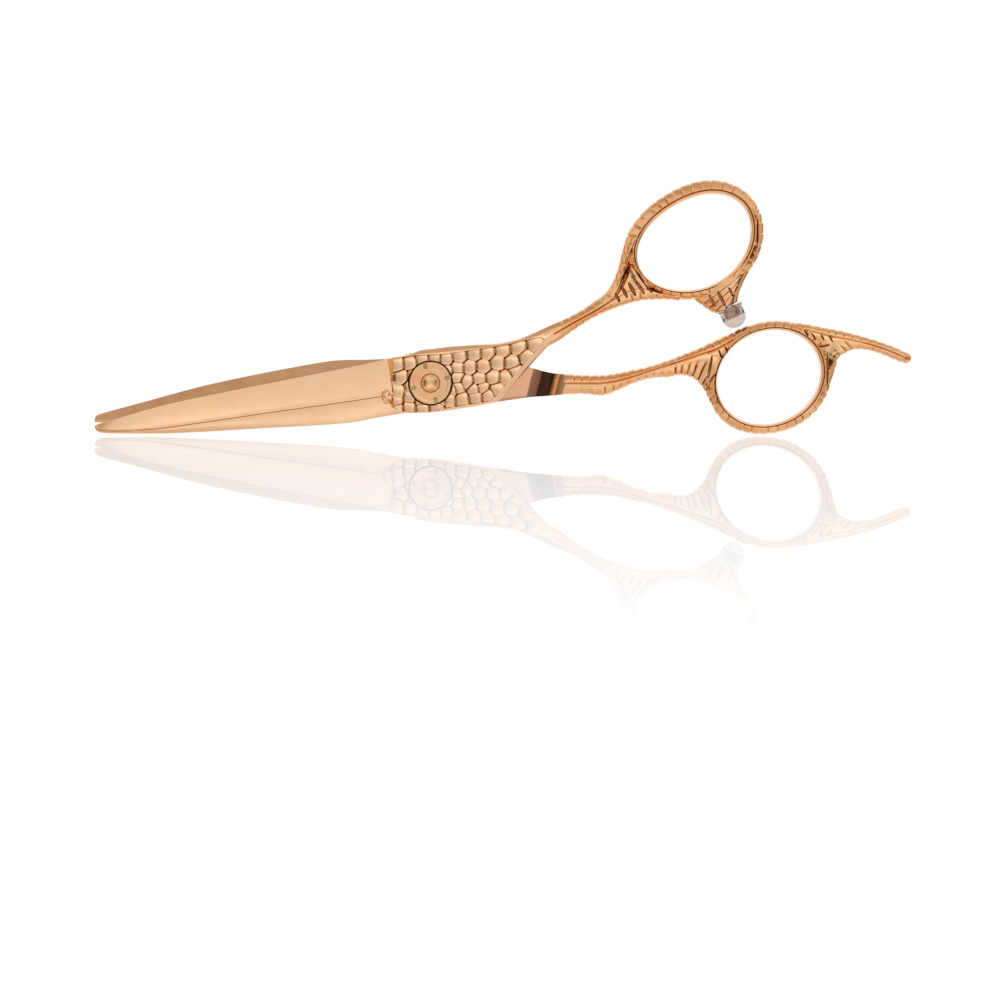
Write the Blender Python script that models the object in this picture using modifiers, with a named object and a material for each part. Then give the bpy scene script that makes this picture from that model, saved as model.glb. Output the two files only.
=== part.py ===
"""Hair cutting shears: two welded halves on one adjustable pivot.

The halves are drawn lying flat: x runs from the pivot towards the finger rings, y across the
width and z up through the thickness, with the flat head of the pivot screw at z = 0.  One empty
then stands the whole on its edge, so that z points to -Y and the cutting plane is X-Z.
"""
import math

import bmesh
import bpy
from mathutils import Matrix, Vector

MM = 0.001

# Overall sizes
BLADE_REACH = 69.2 * MM        # pivot to blade tips
FINGER_RING_X = 69.4 * MM      # pivot to the middle of the finger ring's hole
FINGER_RING_Y = 1.2 * MM
LEAN = 0.1188                  # slope of the closed blades' centre line
PLATE = 3.4 * MM               # thickness of each half round the pivot
HALF_GAP = 0.3 * MM            # between the two inner faces
BLADE_ROOT_THICK = 2.9 * MM
BLADE_TIP_THICK = 1.0 * MM
HOLLOW = 0.12 * MM             # hollow grind of the inner faces

# Finger rings: half lengths of the oval holes, their tilt and the width of the band round them
THUMB_HOLE = (12.3 * MM, 9.0 * MM)
THUMB_TILT = math.radians(29.0)
THUMB_BAND = 2.7 * MM
FINGER_HOLE = (10.9 * MM, 9.4 * MM)
FINGER_TILT = math.radians(25.0)
FINGER_BAND = 2.2 * MM
RING_DEPTH = 4.8 * MM
WEB_DEPTH = 3.4 * MM
# Turns round the ovals, from their long axis, where other features meet them
THUMB_SHANK_TURN = math.radians(190)
THUMB_WEB_TURNS = (math.radians(150), math.radians(222))
BOSS_TURN = math.radians(271)
FINGER_SHANK_TURN = math.radians(138)
FINGER_WEB_TURNS = (math.radians(98), math.radians(180))
TOUCH_TURN = math.radians(96)  # where the bumper meets the finger ring
TANG_TURN = math.radians(24)
TANG_REACH = 28.2 * MM         # ring hole's middle to the end of the tang
KNOB_RADIUS = 1.1 * MM

# Bumper between the two rings
BUMPER_AXIS = Vector((0.41, -0.912, 0.0)).normalized()
BUMPER_GAP = 0.4 * MM
BOSS_REACH = 5.6 * MM          # thumb ring's hole to the boss's end face
BOSS_RADIUS = 2.0 * MM
CAP_RADIUS = 2.45 * MM
CAP_LIP = 2.6 * MM
CAP_LIP_HEIGHT = 0.5 * MM
CAP_STRAIGHT = 2.3 * MM
CAP_DOME = 2.2 * MM
STUD_RADIUS = 1.5 * MM
STUD_HEAD_RADIUS = 1.8 * MM
STUD_HEAD = 2.3 * MM
STUD_BEVEL = 0.3 * MM
STUD_SHANK = 2.6 * MM
STUD_SHANK_RADIUS = 1.0 * MM
BUMPER_FIT = 0.25 * MM         # under the stud's head and the cap, and round the stud
CAP_FIT = 0.15 * MM            # between the stud's head and the cap round it

# Pivot
THREAD_RADIUS = 1.8 * MM
JOURNAL_STEP = 0.35 * MM       # how far the plain journal stands out from the thread
HEAD_RADIUS = 4.35 * MM
HEAD_THICK = 0.8 * MM
DIAL_RADIUS = 4.35 * MM
DIAL_THICK = 1.25 * MM
DIAL_PROUD = 0.1 * MM
POCKET_GAP = 0.27 * MM         # round the dial and round the screw's head
RUN = 0.07 * MM                # radial running clearance on the pivot
STACK_GAP = 0.1 * MM           # between the thin pieces stacked on the pivot
BUSH_WALL = 0.35 * MM
RACE_THICK = 0.25 * MM
BALL_RADIUS = 0.35 * MM
BALL_COUNT = 8
BALL_CLEARANCE = 0.03 * MM
WINDOW_GAP = 0.1 * MM          # round each ball in its cage
HEAD_BEVEL = 0.15 * MM
KEY_HOLE_RADIUS = 0.5 * MM     # the two holes for the key that holds the screw's head
KEY_HOLE_DEPTH = 0.5 * MM
KEY_HOLE_OUT = 2.9 * MM
DISH_DEPTH = 0.45 * MM         # the turned dish in the screw's front end
DISH_RIM = 0.25 * MM
SHAFT_SUNK = 0.1 * MM          # the screw's end below the dial's face
THREAD_GAP = 0.15 * MM
WASHER_THICK = 0.4 * MM
WASHER_WIDTH = 2.0 * MM
CLICK_THICK = 0.4 * MM
CLICK_COUNT = 12
GROOVE_LENGTH = 0.9 * MM
GROOVE_WIDTH = 0.4 * MM
SPRING_THICK = 0.22 * MM
SPRING_INSET = 0.4 * MM        # the spring's rim inside the click ring's rim
BUMP_RADIUS = 0.3 * MM
DIAL_BEVEL = 0.12 * MM
SLOT_COUNT = 4
SLOT_WIDTH = 0.85 * MM
SLOT_LENGTH = 1.4 * MM
SLOT_DEPTH = 0.5 * MM
SLOT_TURN = math.radians(17)

FACETS = 32

# Heights through the thickness, from the screw's head forwards
BACK_FACE = DIAL_PROUD
FINGER_INNER = BACK_FACE + PLATE
THUMB_INNER = FINGER_INNER + HALF_GAP
FRONT_FACE = THUMB_INNER + PLATE
MIDDLE = (BACK_FACE + FRONT_FACE) / 2
DIAL_TOP = FRONT_FACE + DIAL_PROUD
DIAL_BASE = DIAL_TOP - DIAL_THICK
SPRING_BASE = DIAL_BASE - STACK_GAP - SPRING_THICK
CLICK_TOP = SPRING_BASE - 2 * STACK_GAP
CLICK_BASE = CLICK_TOP - CLICK_THICK
POCKET_FLOOR = CLICK_BASE - STACK_GAP
OUTER_RACE_BASE = HEAD_THICK + STACK_GAP
BALL_HEIGHT = OUTER_RACE_BASE + RACE_THICK + BALL_CLEARANCE + BALL_RADIUS
INNER_RACE_BASE = BALL_HEIGHT + BALL_RADIUS + BALL_CLEARANCE
HEAD_FLOOR = INNER_RACE_BASE + RACE_THICK + STACK_GAP
POCKET_RADIUS = DIAL_RADIUS + POCKET_GAP
HEAD_POCKET_RADIUS = HEAD_RADIUS + POCKET_GAP
JOURNAL_RADIUS = THREAD_RADIUS + JOURNAL_STEP
KEY_FLAT = THREAD_RADIUS + 0.02 * MM    # half the distance across the key flats
JOURNAL_TOP = POCKET_FLOOR - STACK_GAP
BUSH_BORE = JOURNAL_RADIUS + RUN
BUSH_RADIUS = BUSH_BORE + BUSH_WALL
RACE_BORE = JOURNAL_RADIUS + 0.3 * MM
RACE_RADIUS = HEAD_RADIUS - 0.2 * MM
BALL_CIRCLE = (RACE_BORE + RACE_RADIUS) / 2


# ---------------------------------------------------------------- scene and helpers

for old in list(bpy.data.objects):
    bpy.data.objects.remove(old, do_unlink=True)

PARTS = bpy.data.collections.new("hair_shears")
CUTTERS = bpy.data.collections.new("cutters")
for group in (PARTS, CUTTERS):
    bpy.context.scene.collection.children.link(group)


def material(name, colour, roughness, metallic):
    mat = bpy.data.materials.new(name)
    mat.use_nodes = True
    shader = mat.node_tree.nodes["Principled BSDF"]
    shader.inputs["Base Color"].default_value = (*colour, 1.0)
    shader.inputs["Roughness"].default_value = roughness
    shader.inputs["Metallic"].default_value = metallic
    return mat


def empty(name, parent=None, place=(0, 0, 0)):
    axis = bpy.data.objects.new(name, None)
    axis.empty_display_size = 0.01
    axis.location = place
    axis.parent = parent
    PARTS.objects.link(axis)
    return axis


def put(obj, parent, mat=None):
    """Give a finished object its parent and material; without one it is a cutter."""
    obj.parent = parent
    if mat is None:
        CUTTERS.objects.link(obj)
        obj.hide_render = True
        obj.display_type = "WIRE"
    else:
        PARTS.objects.link(obj)
        obj.data.materials.append(mat)
    return obj


def cut(target, tool, operation="DIFFERENCE"):
    step = target.modifiers.new(tool.name, "BOOLEAN")
    step.operation = operation
    step.solver = "EXACT"
    step.object = tool
    tidy = target.modifiers.new(tool.name + "_weld", "WELD")
    tidy.merge_threshold = 2e-6
    return target


def closed_mesh(name, curve_object):
    """Turn a curve with filled caps into one closed mesh object."""
    bpy.context.scene.collection.objects.link(curve_object)
    bpy.context.view_layer.update()
    graph = bpy.context.evaluated_depsgraph_get()
    mesh = bpy.data.meshes.new_from_object(curve_object.evaluated_get(graph))
    bpy.data.objects.remove(curve_object, do_unlink=True)
    work = bmesh.new()
    work.from_mesh(mesh)
    bmesh.ops.remove_doubles(work, verts=work.verts, dist=1e-6)
    bmesh.ops.recalc_face_normals(work, faces=work.faces)
    work.to_mesh(mesh)
    work.free()
    mesh.name = name
    return bpy.data.objects.new(name, mesh)


def flat_plate(name, outline, low, high):
    """A flat outline, given as (x, y) points, made solid between two heights."""
    curve = bpy.data.curves.new(name, "CURVE")
    curve.dimensions = "2D"
    curve.fill_mode = "BOTH"
    curve.extrude = (high - low) / 2
    spline = curve.splines.new("POLY")
    spline.points.add(len(outline) - 1)
    for point, (x, y) in zip(spline.points, outline):
        point.co = (x, y, 0, 1)
    spline.use_cyclic_u = True
    plate = closed_mesh(name, bpy.data.objects.new(name, curve))
    plate.data.transform(Matrix.Translation((0, 0, (low + high) / 2)))
    return plate


def turned(name, profile, parent, mat=None, facets=FACETS, closed=True, smooth=False):
    """A turned piece on the local z axis, from (radius, height) points run down its outside."""
    mesh = bpy.data.meshes.new(name)
    count = len(profile)
    edges = [(i, (i + 1) % count) for i in range(count if closed else count - 1)]
    mesh.from_pydata([(r, 0, z) for r, z in profile], edges, [])
    piece = put(bpy.data.objects.new(name, mesh), parent, mat)
    spin = piece.modifiers.new("turn", "SCREW")
    spin.steps = facets
    spin.render_steps = facets
    spin.use_merge_vertices = True
    spin.merge_threshold = 1e-6
    spin.use_smooth_shade = smooth
    return piece


def washer(name, inner, outer, low, high, parent, mat=None):
    profile = [(outer, high), (outer, low), (inner, low), (inner, high)]
    return turned(name, profile, parent, mat)


def plug(name, radius, low, high, parent, mat=None, facets=FACETS):
    profile = [(0, high), (radius, high), (radius, low), (0, low)]
    return turned(name, profile, parent, mat, facets, closed=False)


def loft(name, sections):
    """A closed body through sections that are loops of the same number of points."""
    work = bmesh.new()
    loops = [[work.verts.new(p) for p in section] for section in sections]
    count = len(loops[0])
    for near, far in zip(loops, loops[1:]):
        for i in range(count):
            j = (i + 1) % count
            work.faces.new((near[i], near[j], far[j], far[i]))
    work.faces.new(loops[0])
    work.faces.new(loops[-1])
    bmesh.ops.recalc_face_normals(work, faces=work.faces)
    mesh = bpy.data.meshes.new(name)
    work.to_mesh(mesh)
    work.free()
    return bpy.data.objects.new(name, mesh)


def smooth_line(knots, steps):
    """Points on a Catmull-Rom curve through knots of any dimension, steps to each span."""
    ends = [2 * knots[0] - knots[1], *knots, 2 * knots[-1] - knots[-2]]
    line = []
    for a, b, c, d in zip(ends, ends[1:], ends[2:], ends[3:]):
        for k in range(steps):
            t = k / steps
            line.append(
                0.5 * (2 * b + (c - a) * t + (2 * a - 5 * b + 4 * c - d) * t * t
                       + (3 * b - a - 3 * c + d) * t * t * t)
            )
    line.append(knots[-1])
    return line


def along(stations, fraction):
    """Read a value off (fraction, value) stations, straight between them."""
    for (f0, v0), (f1, v1) in zip(stations, stations[1:]):
        if fraction <= f1:
            return v0 + (v1 - v0) * (fraction - f0) / (f1 - f0)
    return stations[-1][1]


# ---------------------------------------------------------------- frame and materials

stand = empty("shears_on_edge")
stand.rotation_euler = (math.pi / 2, 0, 0)
finger_axis = empty("finger_half", stand)
thumb_axis = empty("thumb_half", stand)
bearing_axis = empty("bearing", stand)
dial_axis = empty("dial", stand)

rose_steel = material("rose_gold_steel", (0.86, 0.52, 0.34), 0.14, 1.0)
rose_turned = material("rose_gold_turned", (0.88, 0.58, 0.40), 0.24, 1.0)
bare_steel = material("bare_steel", (0.72, 0.72, 0.72), 0.25, 1.0)
ball_steel = material("ball_steel", (0.80, 0.80, 0.82), 0.08, 1.0)
bronze = material("bronze", (0.62, 0.42, 0.20), 0.35, 1.0)
white_plastic = material("glide_plastic", (0.88, 0.88, 0.86), 0.5, 0.0)
clear_silicone = material("clear_silicone", (0.86, 0.87, 0.88), 0.2, 0.0)


# ---------------------------------------------------------------- blades

BLADE_FRACTIONS = (0.09, 0.13, 0.17, 0.24, 0.32, 0.41, 0.5, 0.6, 0.7, 0.8, 0.89, 0.95, 0.985, 1.0)
EDGE_LAND = 0.1 * MM
SPINE_SHARE = 0.45             # the bevel leaves this share of the thickness at the spine


def blade(name, edge, ridge, spine, inner, outwards):
    """A ground blade; edge, ridge and spine are offsets from the centre line by reach share."""
    sections = []
    for share in BLADE_FRACTIONS:
        x = -share * BLADE_REACH
        middle = LEAN * x
        thick = BLADE_ROOT_THICK + (BLADE_TIP_THICK - BLADE_ROOT_THICK) * (share - 0.09) / 0.91
        y_edge = middle + along(edge, share)
        y_ridge = middle + along(ridge, share)
        y_spine = middle + along(spine, share)
        sections.append([
            Vector((x, y_edge, inner)),
            Vector((x, y_edge, inner + outwards * EDGE_LAND)),
            Vector((x, y_ridge, inner + outwards * thick)),
            Vector((x, y_spine, inner + outwards * thick * SPINE_SHARE)),
            Vector((x, y_spine, inner)),
            Vector((x, (y_edge + y_spine) / 2, inner + outwards * HOLLOW)),
        ])
    return loft(name, sections)


def in_mm(stations):
    return [(share, value * MM) for share, value in stations]


THUMB_EDGE = in_mm([(0.09, 6.2), (0.13, 6.05), (0.2, 5.45), (0.32, 4.8), (0.5, 3.8),
                    (0.66, 2.85), (0.8, 1.9), (1.0, -0.35)])
THUMB_RIDGE = in_mm([(0.09, -1.3), (0.27, -2.0), (0.5, -2.4), (0.65, -2.7), (0.86, -2.5),
                     (1.0, -1.0)])
THUMB_SPINE = in_mm([(0.09, -5.6), (0.165, -5.9), (0.23, -6.15), (0.32, -6.0), (0.5, -5.2),
                     (0.68, -4.45), (0.8, -3.8), (0.93, -2.8), (0.985, -2.2), (1.0, -1.5)])
FINGER_EDGE = in_mm([(0.09, -5.4), (0.2, -5.1), (0.5, -3.7), (0.8, -1.7), (1.0, 0.4)])
FINGER_RIDGE = in_mm([(0.09, 1.4), (0.5, 2.7), (0.68, 2.9), (0.86, 2.5), (1.0, 1.0)])
FINGER_SPINE = in_mm([(0.09, 6.2), (0.13, 6.05), (0.2, 6.35), (0.257, 6.8), (0.32, 6.9),
                      (0.5, 6.1), (0.68, 4.9), (0.865, 3.0), (0.985, 1.6), (1.0, 0.9)])

# Outlines of the flat plates round the pivot, from the blade's root to the weld
WELD_THUMB = (Vector((24.3 * MM, 11.7 * MM, 0)), Vector((25.8 * MM, 9.05 * MM, 0)))
WELD_FINGER = (Vector((26.6 * MM, 1.75 * MM, 0)), Vector((26.6 * MM, -2.35 * MM, 0)))
THUMB_PLATE = [(-8.8, 5.0), (-4.7, 5.8), (-2.1, 6.65), (0.5, 7.0), (9.7, 7.85), (13.7, 8.0),
               (17.6, 8.8), (21.5, 10.4), (24.3, 11.7), (25.8, 9.05), (20.2, 3.4), (13.7, -3.9),
               (7.1, -5.1), (0.5, -6.0), (-5.0, -6.2), (-8.8, -5.0)]
FINGER_PLATE = [(-8.8, 5.0), (-6.0, 5.5), (-3.9, 6.0), (1.0, 6.5), (9.0, 6.2), (15.0, 5.0),
                (19.9, 3.3), (24.2, 2.1), (26.6, 1.75), (26.6, -2.35), (20.2, -2.9),
                (13.7, -3.9), (7.1, -4.9), (0.5, -5.8), (-5.0, -6.0), (-8.8, -4.8)]


def half_plate(name, outline, low, high, parent):
    return put(flat_plate(name, [(x * MM, y * MM) for x, y in outline], low, high), parent)


finger_blade = put(
    blade("finger_blade", FINGER_EDGE, FINGER_RIDGE, FINGER_SPINE, FINGER_INNER, -1),
    finger_axis, rose_steel)
cut(finger_blade, half_plate("finger_plate", FINGER_PLATE, BACK_FACE, FINGER_INNER, finger_axis),
    "UNION")

thumb_blade = put(
    blade("thumb_blade", THUMB_EDGE, THUMB_RIDGE, THUMB_SPINE, THUMB_INNER, 1),
    thumb_axis, rose_steel)
cut(thumb_blade, half_plate("thumb_plate", THUMB_PLATE, THUMB_INNER, FRONT_FACE, thumb_axis),
    "UNION")

# ---------------------------------------------------------------- pivot

WASHER_SINK = WASHER_THICK + 2 * STACK_GAP - HALF_GAP
WASHER_BORE = BUSH_RADIUS + HALF_GAP
WASHER_RADIUS = WASHER_BORE + WASHER_WIDTH
SHAFT_TOP = DIAL_TOP - SHAFT_SUNK
KEY_LOW = THUMB_INNER - STACK_GAP


def key_cutters(name, half_width, low, high, parent):
    """Two blocks that leave a shaft two flats at half_width, between two heights."""
    blocks = []
    for side in (-1, 1):
        mesh = bpy.data.meshes.new(f"{name}_{side}")
        work = bmesh.new()
        bmesh.ops.create_cube(work, size=1.0)
        size = (JOURNAL_RADIUS, 4 * JOURNAL_RADIUS, high - low)
        bmesh.ops.scale(work, vec=size, verts=work.verts)
        shift = (side * (half_width + JOURNAL_RADIUS / 2), 0, (low + high) / 2)
        bmesh.ops.translate(work, vec=shift, verts=work.verts)
        work.to_mesh(mesh)
        work.free()
        blocks.append(put(bpy.data.objects.new(mesh.name, mesh), parent))
    return blocks


pivot_screw = turned("pivot_screw", [
    (0, SHAFT_TOP - DISH_DEPTH), (THREAD_RADIUS - DISH_RIM, SHAFT_TOP),
    (THREAD_RADIUS, SHAFT_TOP), (THREAD_RADIUS, JOURNAL_TOP), (JOURNAL_RADIUS, JOURNAL_TOP),
    (JOURNAL_RADIUS, HEAD_THICK), (HEAD_RADIUS, HEAD_THICK), (HEAD_RADIUS, HEAD_BEVEL),
    (HEAD_RADIUS - HEAD_BEVEL, 0), (0, 0)], thumb_axis, rose_turned, closed=False)
for flat in key_cutters("screw_flat", KEY_FLAT, KEY_LOW, POCKET_FLOOR, thumb_axis):
    cut(pivot_screw, flat)
for side in (-1, 1):
    key_hole = plug(f"key_hole_{side}", KEY_HOLE_RADIUS, -HEAD_THICK, KEY_HOLE_DEPTH, thumb_axis,
                    facets=16)
    key_hole.location = (side * KEY_HOLE_OUT, 0, 0)
    cut(pivot_screw, key_hole)

pivot_bush = washer("pivot_bush", BUSH_BORE, BUSH_RADIUS, HEAD_FLOOR + STACK_GAP,
                    FINGER_INNER - WASHER_SINK, finger_axis, bronze)
glide_washer = washer("glide_washer", WASHER_BORE, WASHER_RADIUS,
                      FINGER_INNER - WASHER_SINK + STACK_GAP, THUMB_INNER - STACK_GAP,
                      finger_axis, white_plastic)
inner_race = washer("bearing_inner_race", RACE_BORE, RACE_RADIUS, INNER_RACE_BASE,
                    INNER_RACE_BASE + RACE_THICK, finger_axis, bare_steel)
outer_race = washer("bearing_outer_race", RACE_BORE, RACE_RADIUS, OUTER_RACE_BASE,
                    OUTER_RACE_BASE + RACE_THICK, thumb_axis, bare_steel)

cage_half = BALL_RADIUS * 0.45
cage_side = 2 * BALL_RADIUS
window_radius = BALL_RADIUS + WINDOW_GAP
bearing_cage = washer("bearing_cage", BALL_CIRCLE - cage_side, BALL_CIRCLE + cage_side,
                      BALL_HEIGHT - cage_half, BALL_HEIGHT + cage_half, bearing_axis, bronze)
windows = bpy.data.meshes.new("ball_windows")
work = bmesh.new()
ball_places = [Vector((math.cos(a), math.sin(a), 0)) * BALL_CIRCLE
               for a in (2 * math.pi * k / BALL_COUNT for k in range(BALL_COUNT))]
for place in ball_places:
    window = bmesh.ops.create_cone(work, cap_ends=True, segments=12, radius1=window_radius,
                                   radius2=window_radius, depth=2 * BALL_RADIUS)["verts"]
    bmesh.ops.translate(work, vec=place + Vector((0, 0, BALL_HEIGHT)), verts=window)
work.to_mesh(windows)
work.free()
cut(bearing_cage, put(bpy.data.objects.new("ball_windows", windows), bearing_axis))
for number, place in enumerate(ball_places):
    mesh = bpy.data.meshes.new(f"bearing_ball_{number + 1}")
    work = bmesh.new()
    bmesh.ops.create_uvsphere(work, u_segments=10, v_segments=6, radius=BALL_RADIUS)
    work.to_mesh(mesh)
    work.free()
    ball = put(bpy.data.objects.new(mesh.name, mesh), bearing_axis, ball_steel)
    ball.location = place + Vector((0, 0, BALL_HEIGHT))
    ball.data.shade_smooth()

# The finger half: pocket for the head and bearing, bore for the bush, seat for the washer
cut(finger_blade, plug("head_pocket", HEAD_POCKET_RADIUS, BACK_FACE - PLATE, HEAD_FLOOR,
                       finger_axis))
cut(finger_blade, plug("bush_bore", BUSH_RADIUS + RUN, BACK_FACE - PLATE, THUMB_INNER,
                       finger_axis))
cut(finger_blade, plug("washer_seat", WASHER_RADIUS + STACK_GAP, FINGER_INNER - WASHER_SINK,
                       THUMB_INNER, finger_axis))

# The thumb half: pocket for the dial and click ring, and a bore with two flats for the screw
cut(thumb_blade, plug("dial_pocket", POCKET_RADIUS, POCKET_FLOOR, DIAL_TOP + PLATE, thumb_axis))
key_bore = plug("key_bore", BUSH_BORE, FINGER_INNER - PLATE, FRONT_FACE, thumb_axis)
for flat in key_cutters("bore_flat", KEY_FLAT + RUN, 0, FRONT_FACE, thumb_axis):
    cut(key_bore, flat)
cut(thumb_blade, key_bore)

# The dial, its click ring and its spring
CLICK_BORE = JOURNAL_RADIUS + THREAD_GAP
groove_out = DIAL_RADIUS - GROOVE_LENGTH
click_ring = washer("click_ring", CLICK_BORE, DIAL_RADIUS, CLICK_BASE, CLICK_TOP, thumb_axis,
                    bare_steel)
groove_mesh = bpy.data.meshes.new("click_grooves")
work = bmesh.new()
for number in range(CLICK_COUNT):
    groove = bmesh.ops.create_cube(work, size=1.0)["verts"]
    bmesh.ops.scale(work, vec=(GROOVE_LENGTH, GROOVE_WIDTH, CLICK_THICK), verts=groove)
    bmesh.ops.translate(work, vec=(groove_out, 0, CLICK_TOP), verts=groove)
    spin = Matrix.Rotation(2 * math.pi * number / CLICK_COUNT, 3, "Z")
    bmesh.ops.rotate(work, cent=(0, 0, 0), matrix=spin, verts=groove)
work.to_mesh(groove_mesh)
work.free()
cut(click_ring, put(bpy.data.objects.new("click_grooves", groove_mesh), thumb_axis))

click_spring = washer("click_spring", CLICK_BORE, DIAL_RADIUS - SPRING_INSET, SPRING_BASE,
                      SPRING_BASE + SPRING_THICK, dial_axis, bare_steel)
for side in (-1, 1):
    bump = plug(f"spring_bump_{side}", BUMP_RADIUS, SPRING_BASE - STACK_GAP,
                SPRING_BASE + SPRING_THICK / 2, dial_axis, facets=10)
    bump.location = (side * groove_out, 0, 0)
    cut(click_spring, bump, "UNION")

DIAL_BORE = THREAD_RADIUS + THREAD_GAP
tension_dial = turned("tension_dial", [
    (DIAL_BORE + DIAL_BEVEL, DIAL_TOP), (DIAL_RADIUS - DIAL_BEVEL, DIAL_TOP),
    (DIAL_RADIUS, DIAL_TOP - DIAL_BEVEL), (DIAL_RADIUS, DIAL_BASE), (DIAL_BORE, DIAL_BASE),
    (DIAL_BORE, DIAL_TOP - DIAL_BEVEL)], dial_axis, rose_turned, facets=48)
slot_round = SLOT_WIDTH / 2
slot_start = DIAL_RADIUS - SLOT_LENGTH + slot_round
slot_outline = [(slot_start - slot_round * math.sin(a), slot_round * math.cos(a))
                for a in (math.pi * k / 6 for k in range(7))]
slot_outline += [(DIAL_RADIUS + POCKET_GAP, -slot_round), (DIAL_RADIUS + POCKET_GAP, slot_round)]
for number in range(SLOT_COUNT):
    slot = put(flat_plate(f"dial_slot_{number + 1}", slot_outline, DIAL_TOP - SLOT_DEPTH,
                          DIAL_TOP + SLOT_DEPTH), dial_axis)
    slot.rotation_euler = (0, 0, SLOT_TURN + number * 2 * math.pi / SLOT_COUNT)
    cut(tension_dial, slot)


# ---------------------------------------------------------------- finger rings and shanks

def oval_point(centre, hole, tilt, turn, out=0.0):
    """A point at the given turn round an oval hole, moved out along the oval's normal."""
    x = hole[0] * math.cos(turn)
    y = hole[1] * math.sin(turn)
    normal = Vector((math.cos(turn) / hole[0], math.sin(turn) / hole[1], 0)).normalized()
    point = Vector((x, y, 0)) + normal * out
    return Vector((*centre.xy, 0)) + Matrix.Rotation(tilt, 3, "Z") @ point


FINGER_CENTRE = Vector((FINGER_RING_X, FINGER_RING_Y, 0))
touch = oval_point(FINGER_CENTRE, FINGER_HOLE, FINGER_TILT, TOUCH_TURN, FINGER_BAND)
BOSS_FACE = touch - BUMPER_AXIS * (BUMPER_GAP + CAP_DOME + CAP_STRAIGHT + BUMPER_FIT)
boss_root = oval_point(Vector((0, 0, 0)), THUMB_HOLE, THUMB_TILT, BOSS_TURN)
THUMB_CENTRE = BOSS_FACE - BUMPER_AXIS * BOSS_REACH - boss_root


def oval_ring(name, centre, hole, tilt, band, parent, mat=None):
    """The band round a finger hole: an oval bar bent into an oval."""
    profile = bpy.data.curves.new(name + "_section", "CURVE")
    profile.dimensions = "2D"
    spline = profile.splines.new("POLY")
    spline.points.add(11)
    for k, point in enumerate(spline.points):
        a = 2 * math.pi * k / 12
        point.co = (band / 2 * math.cos(a), RING_DEPTH / 2 * math.sin(a), 0, 1)
    spline.use_cyclic_u = True
    section = bpy.data.objects.new(name + "_section", profile)
    path = bpy.data.curves.new(name, "CURVE")
    path.dimensions = "3D"
    path.bevel_mode = "OBJECT"
    path.bevel_object = section
    spline = path.splines.new("POLY")
    steps = 40
    spline.points.add(steps - 1)
    for k, point in enumerate(spline.points):
        place = oval_point(centre, hole, tilt, 2 * math.pi * k / steps, band / 2)
        point.co = (place.x, place.y, MIDDLE, 1)
    spline.use_cyclic_u = True
    path.twist_mode = "Z_UP"
    ring = closed_mesh(name, bpy.data.objects.new(name, path))
    bpy.data.objects.remove(section, do_unlink=True)
    return put(ring, parent, mat)


def bar(name, stations, parent, mat=None, start_side=None, sides=12):
    """A bar through (x, y, z, half width, half depth) stations; its start may face a given way."""
    line = smooth_line([Vector(s) for s in stations], 3)
    sections = []
    square_sections = 4
    for i, here in enumerate(line):
        ahead = line[min(i + 1, len(line) - 1)] - line[max(i - 1, 0)]
        side = Vector((-ahead[1], ahead[0], 0)).normalized()
        if start_side and i < square_sections:
            side = start_side
        x, y, z, half_width, half_depth = here
        loop = []
        for k in range(sides):
            a = 2 * math.pi * (k + 0.5) / sides
            across = math.copysign(abs(math.cos(a)) ** 0.8, math.cos(a)) * half_width
            up = math.copysign(abs(math.sin(a)) ** 0.8, math.sin(a)) * half_depth
            loop.append(Vector((x, y, z)) + side * across + Vector((0, 0, up)))
        sections.append(loop)
    return put(loft(name, sections), parent, mat)


def bowed(start, end, sag, steps=6):
    """Points from start to end on an arc that bows to the left by sag."""
    span = end - start
    left = Vector((-span.y, span.x, 0)).normalized()
    shares = [k / steps for k in range(steps)]
    return [start + span * t + left * sag * 4 * t * (1 - t) for t in shares]


WELD_GAP = 0.3 * MM
WELD_STUB = 1.0 * MM


def shank_stations(weld, end, bends, weld_depth):
    """Stations from the weld to the ring; bends are (share, left shift, half width, depth share)."""
    start = (weld[0] + weld[1]) / 2
    face = weld[1] - weld[0]
    outward = Vector((-face.y, face.x, 0)).normalized()
    stub = start + outward * (WELD_GAP + WELD_STUB)
    start = start + outward * WELD_GAP
    span = end - start
    left = Vector((-span.y, span.x, 0)).normalized()
    half_face = face.length / 2
    stations = [(spot.x, spot.y, weld_depth[0], half_face, weld_depth[1]) for spot in (start, stub)]
    for share, shift, half_width, blend in bends:
        spot = start + span * share + left * shift * MM
        z = weld_depth[0] + (MIDDLE - weld_depth[0]) * blend
        half_depth = weld_depth[1] + (RING_DEPTH / 2 - weld_depth[1]) * blend
        stations.append((spot.x, spot.y, z, half_width * MM, half_depth))
    return stations


THUMB_WELD_DEPTH = ((THUMB_INNER + FRONT_FACE) / 2, PLATE / 2)
FINGER_WELD_DEPTH = ((BACK_FACE + FINGER_INNER) / 2, PLATE / 2)
thumb_end = oval_point(THUMB_CENTRE, THUMB_HOLE, THUMB_TILT, THUMB_SHANK_TURN, THUMB_BAND / 2)
finger_end = oval_point(FINGER_CENTRE, FINGER_HOLE, FINGER_TILT, FINGER_SHANK_TURN,
                        FINGER_BAND / 2)

# Thumb handle
thumb_handle = bar("thumb_handle", shank_stations(WELD_THUMB, thumb_end, [
    (0.16, 0.0, 1.42, 0.3), (0.34, 0.05, 1.33, 0.75), (0.55, 0.1, 1.5, 1.0),
    (0.78, 0.0, 2.2, 1.0), (1.0, 0.0, 2.6, 1.0)], THUMB_WELD_DEPTH),
    thumb_axis, rose_steel, (WELD_THUMB[0] - WELD_THUMB[1]).normalized())
cut(thumb_handle, oval_ring("thumb_ring", THUMB_CENTRE, THUMB_HOLE, THUMB_TILT, THUMB_BAND,
                            thumb_axis), "UNION")


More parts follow.
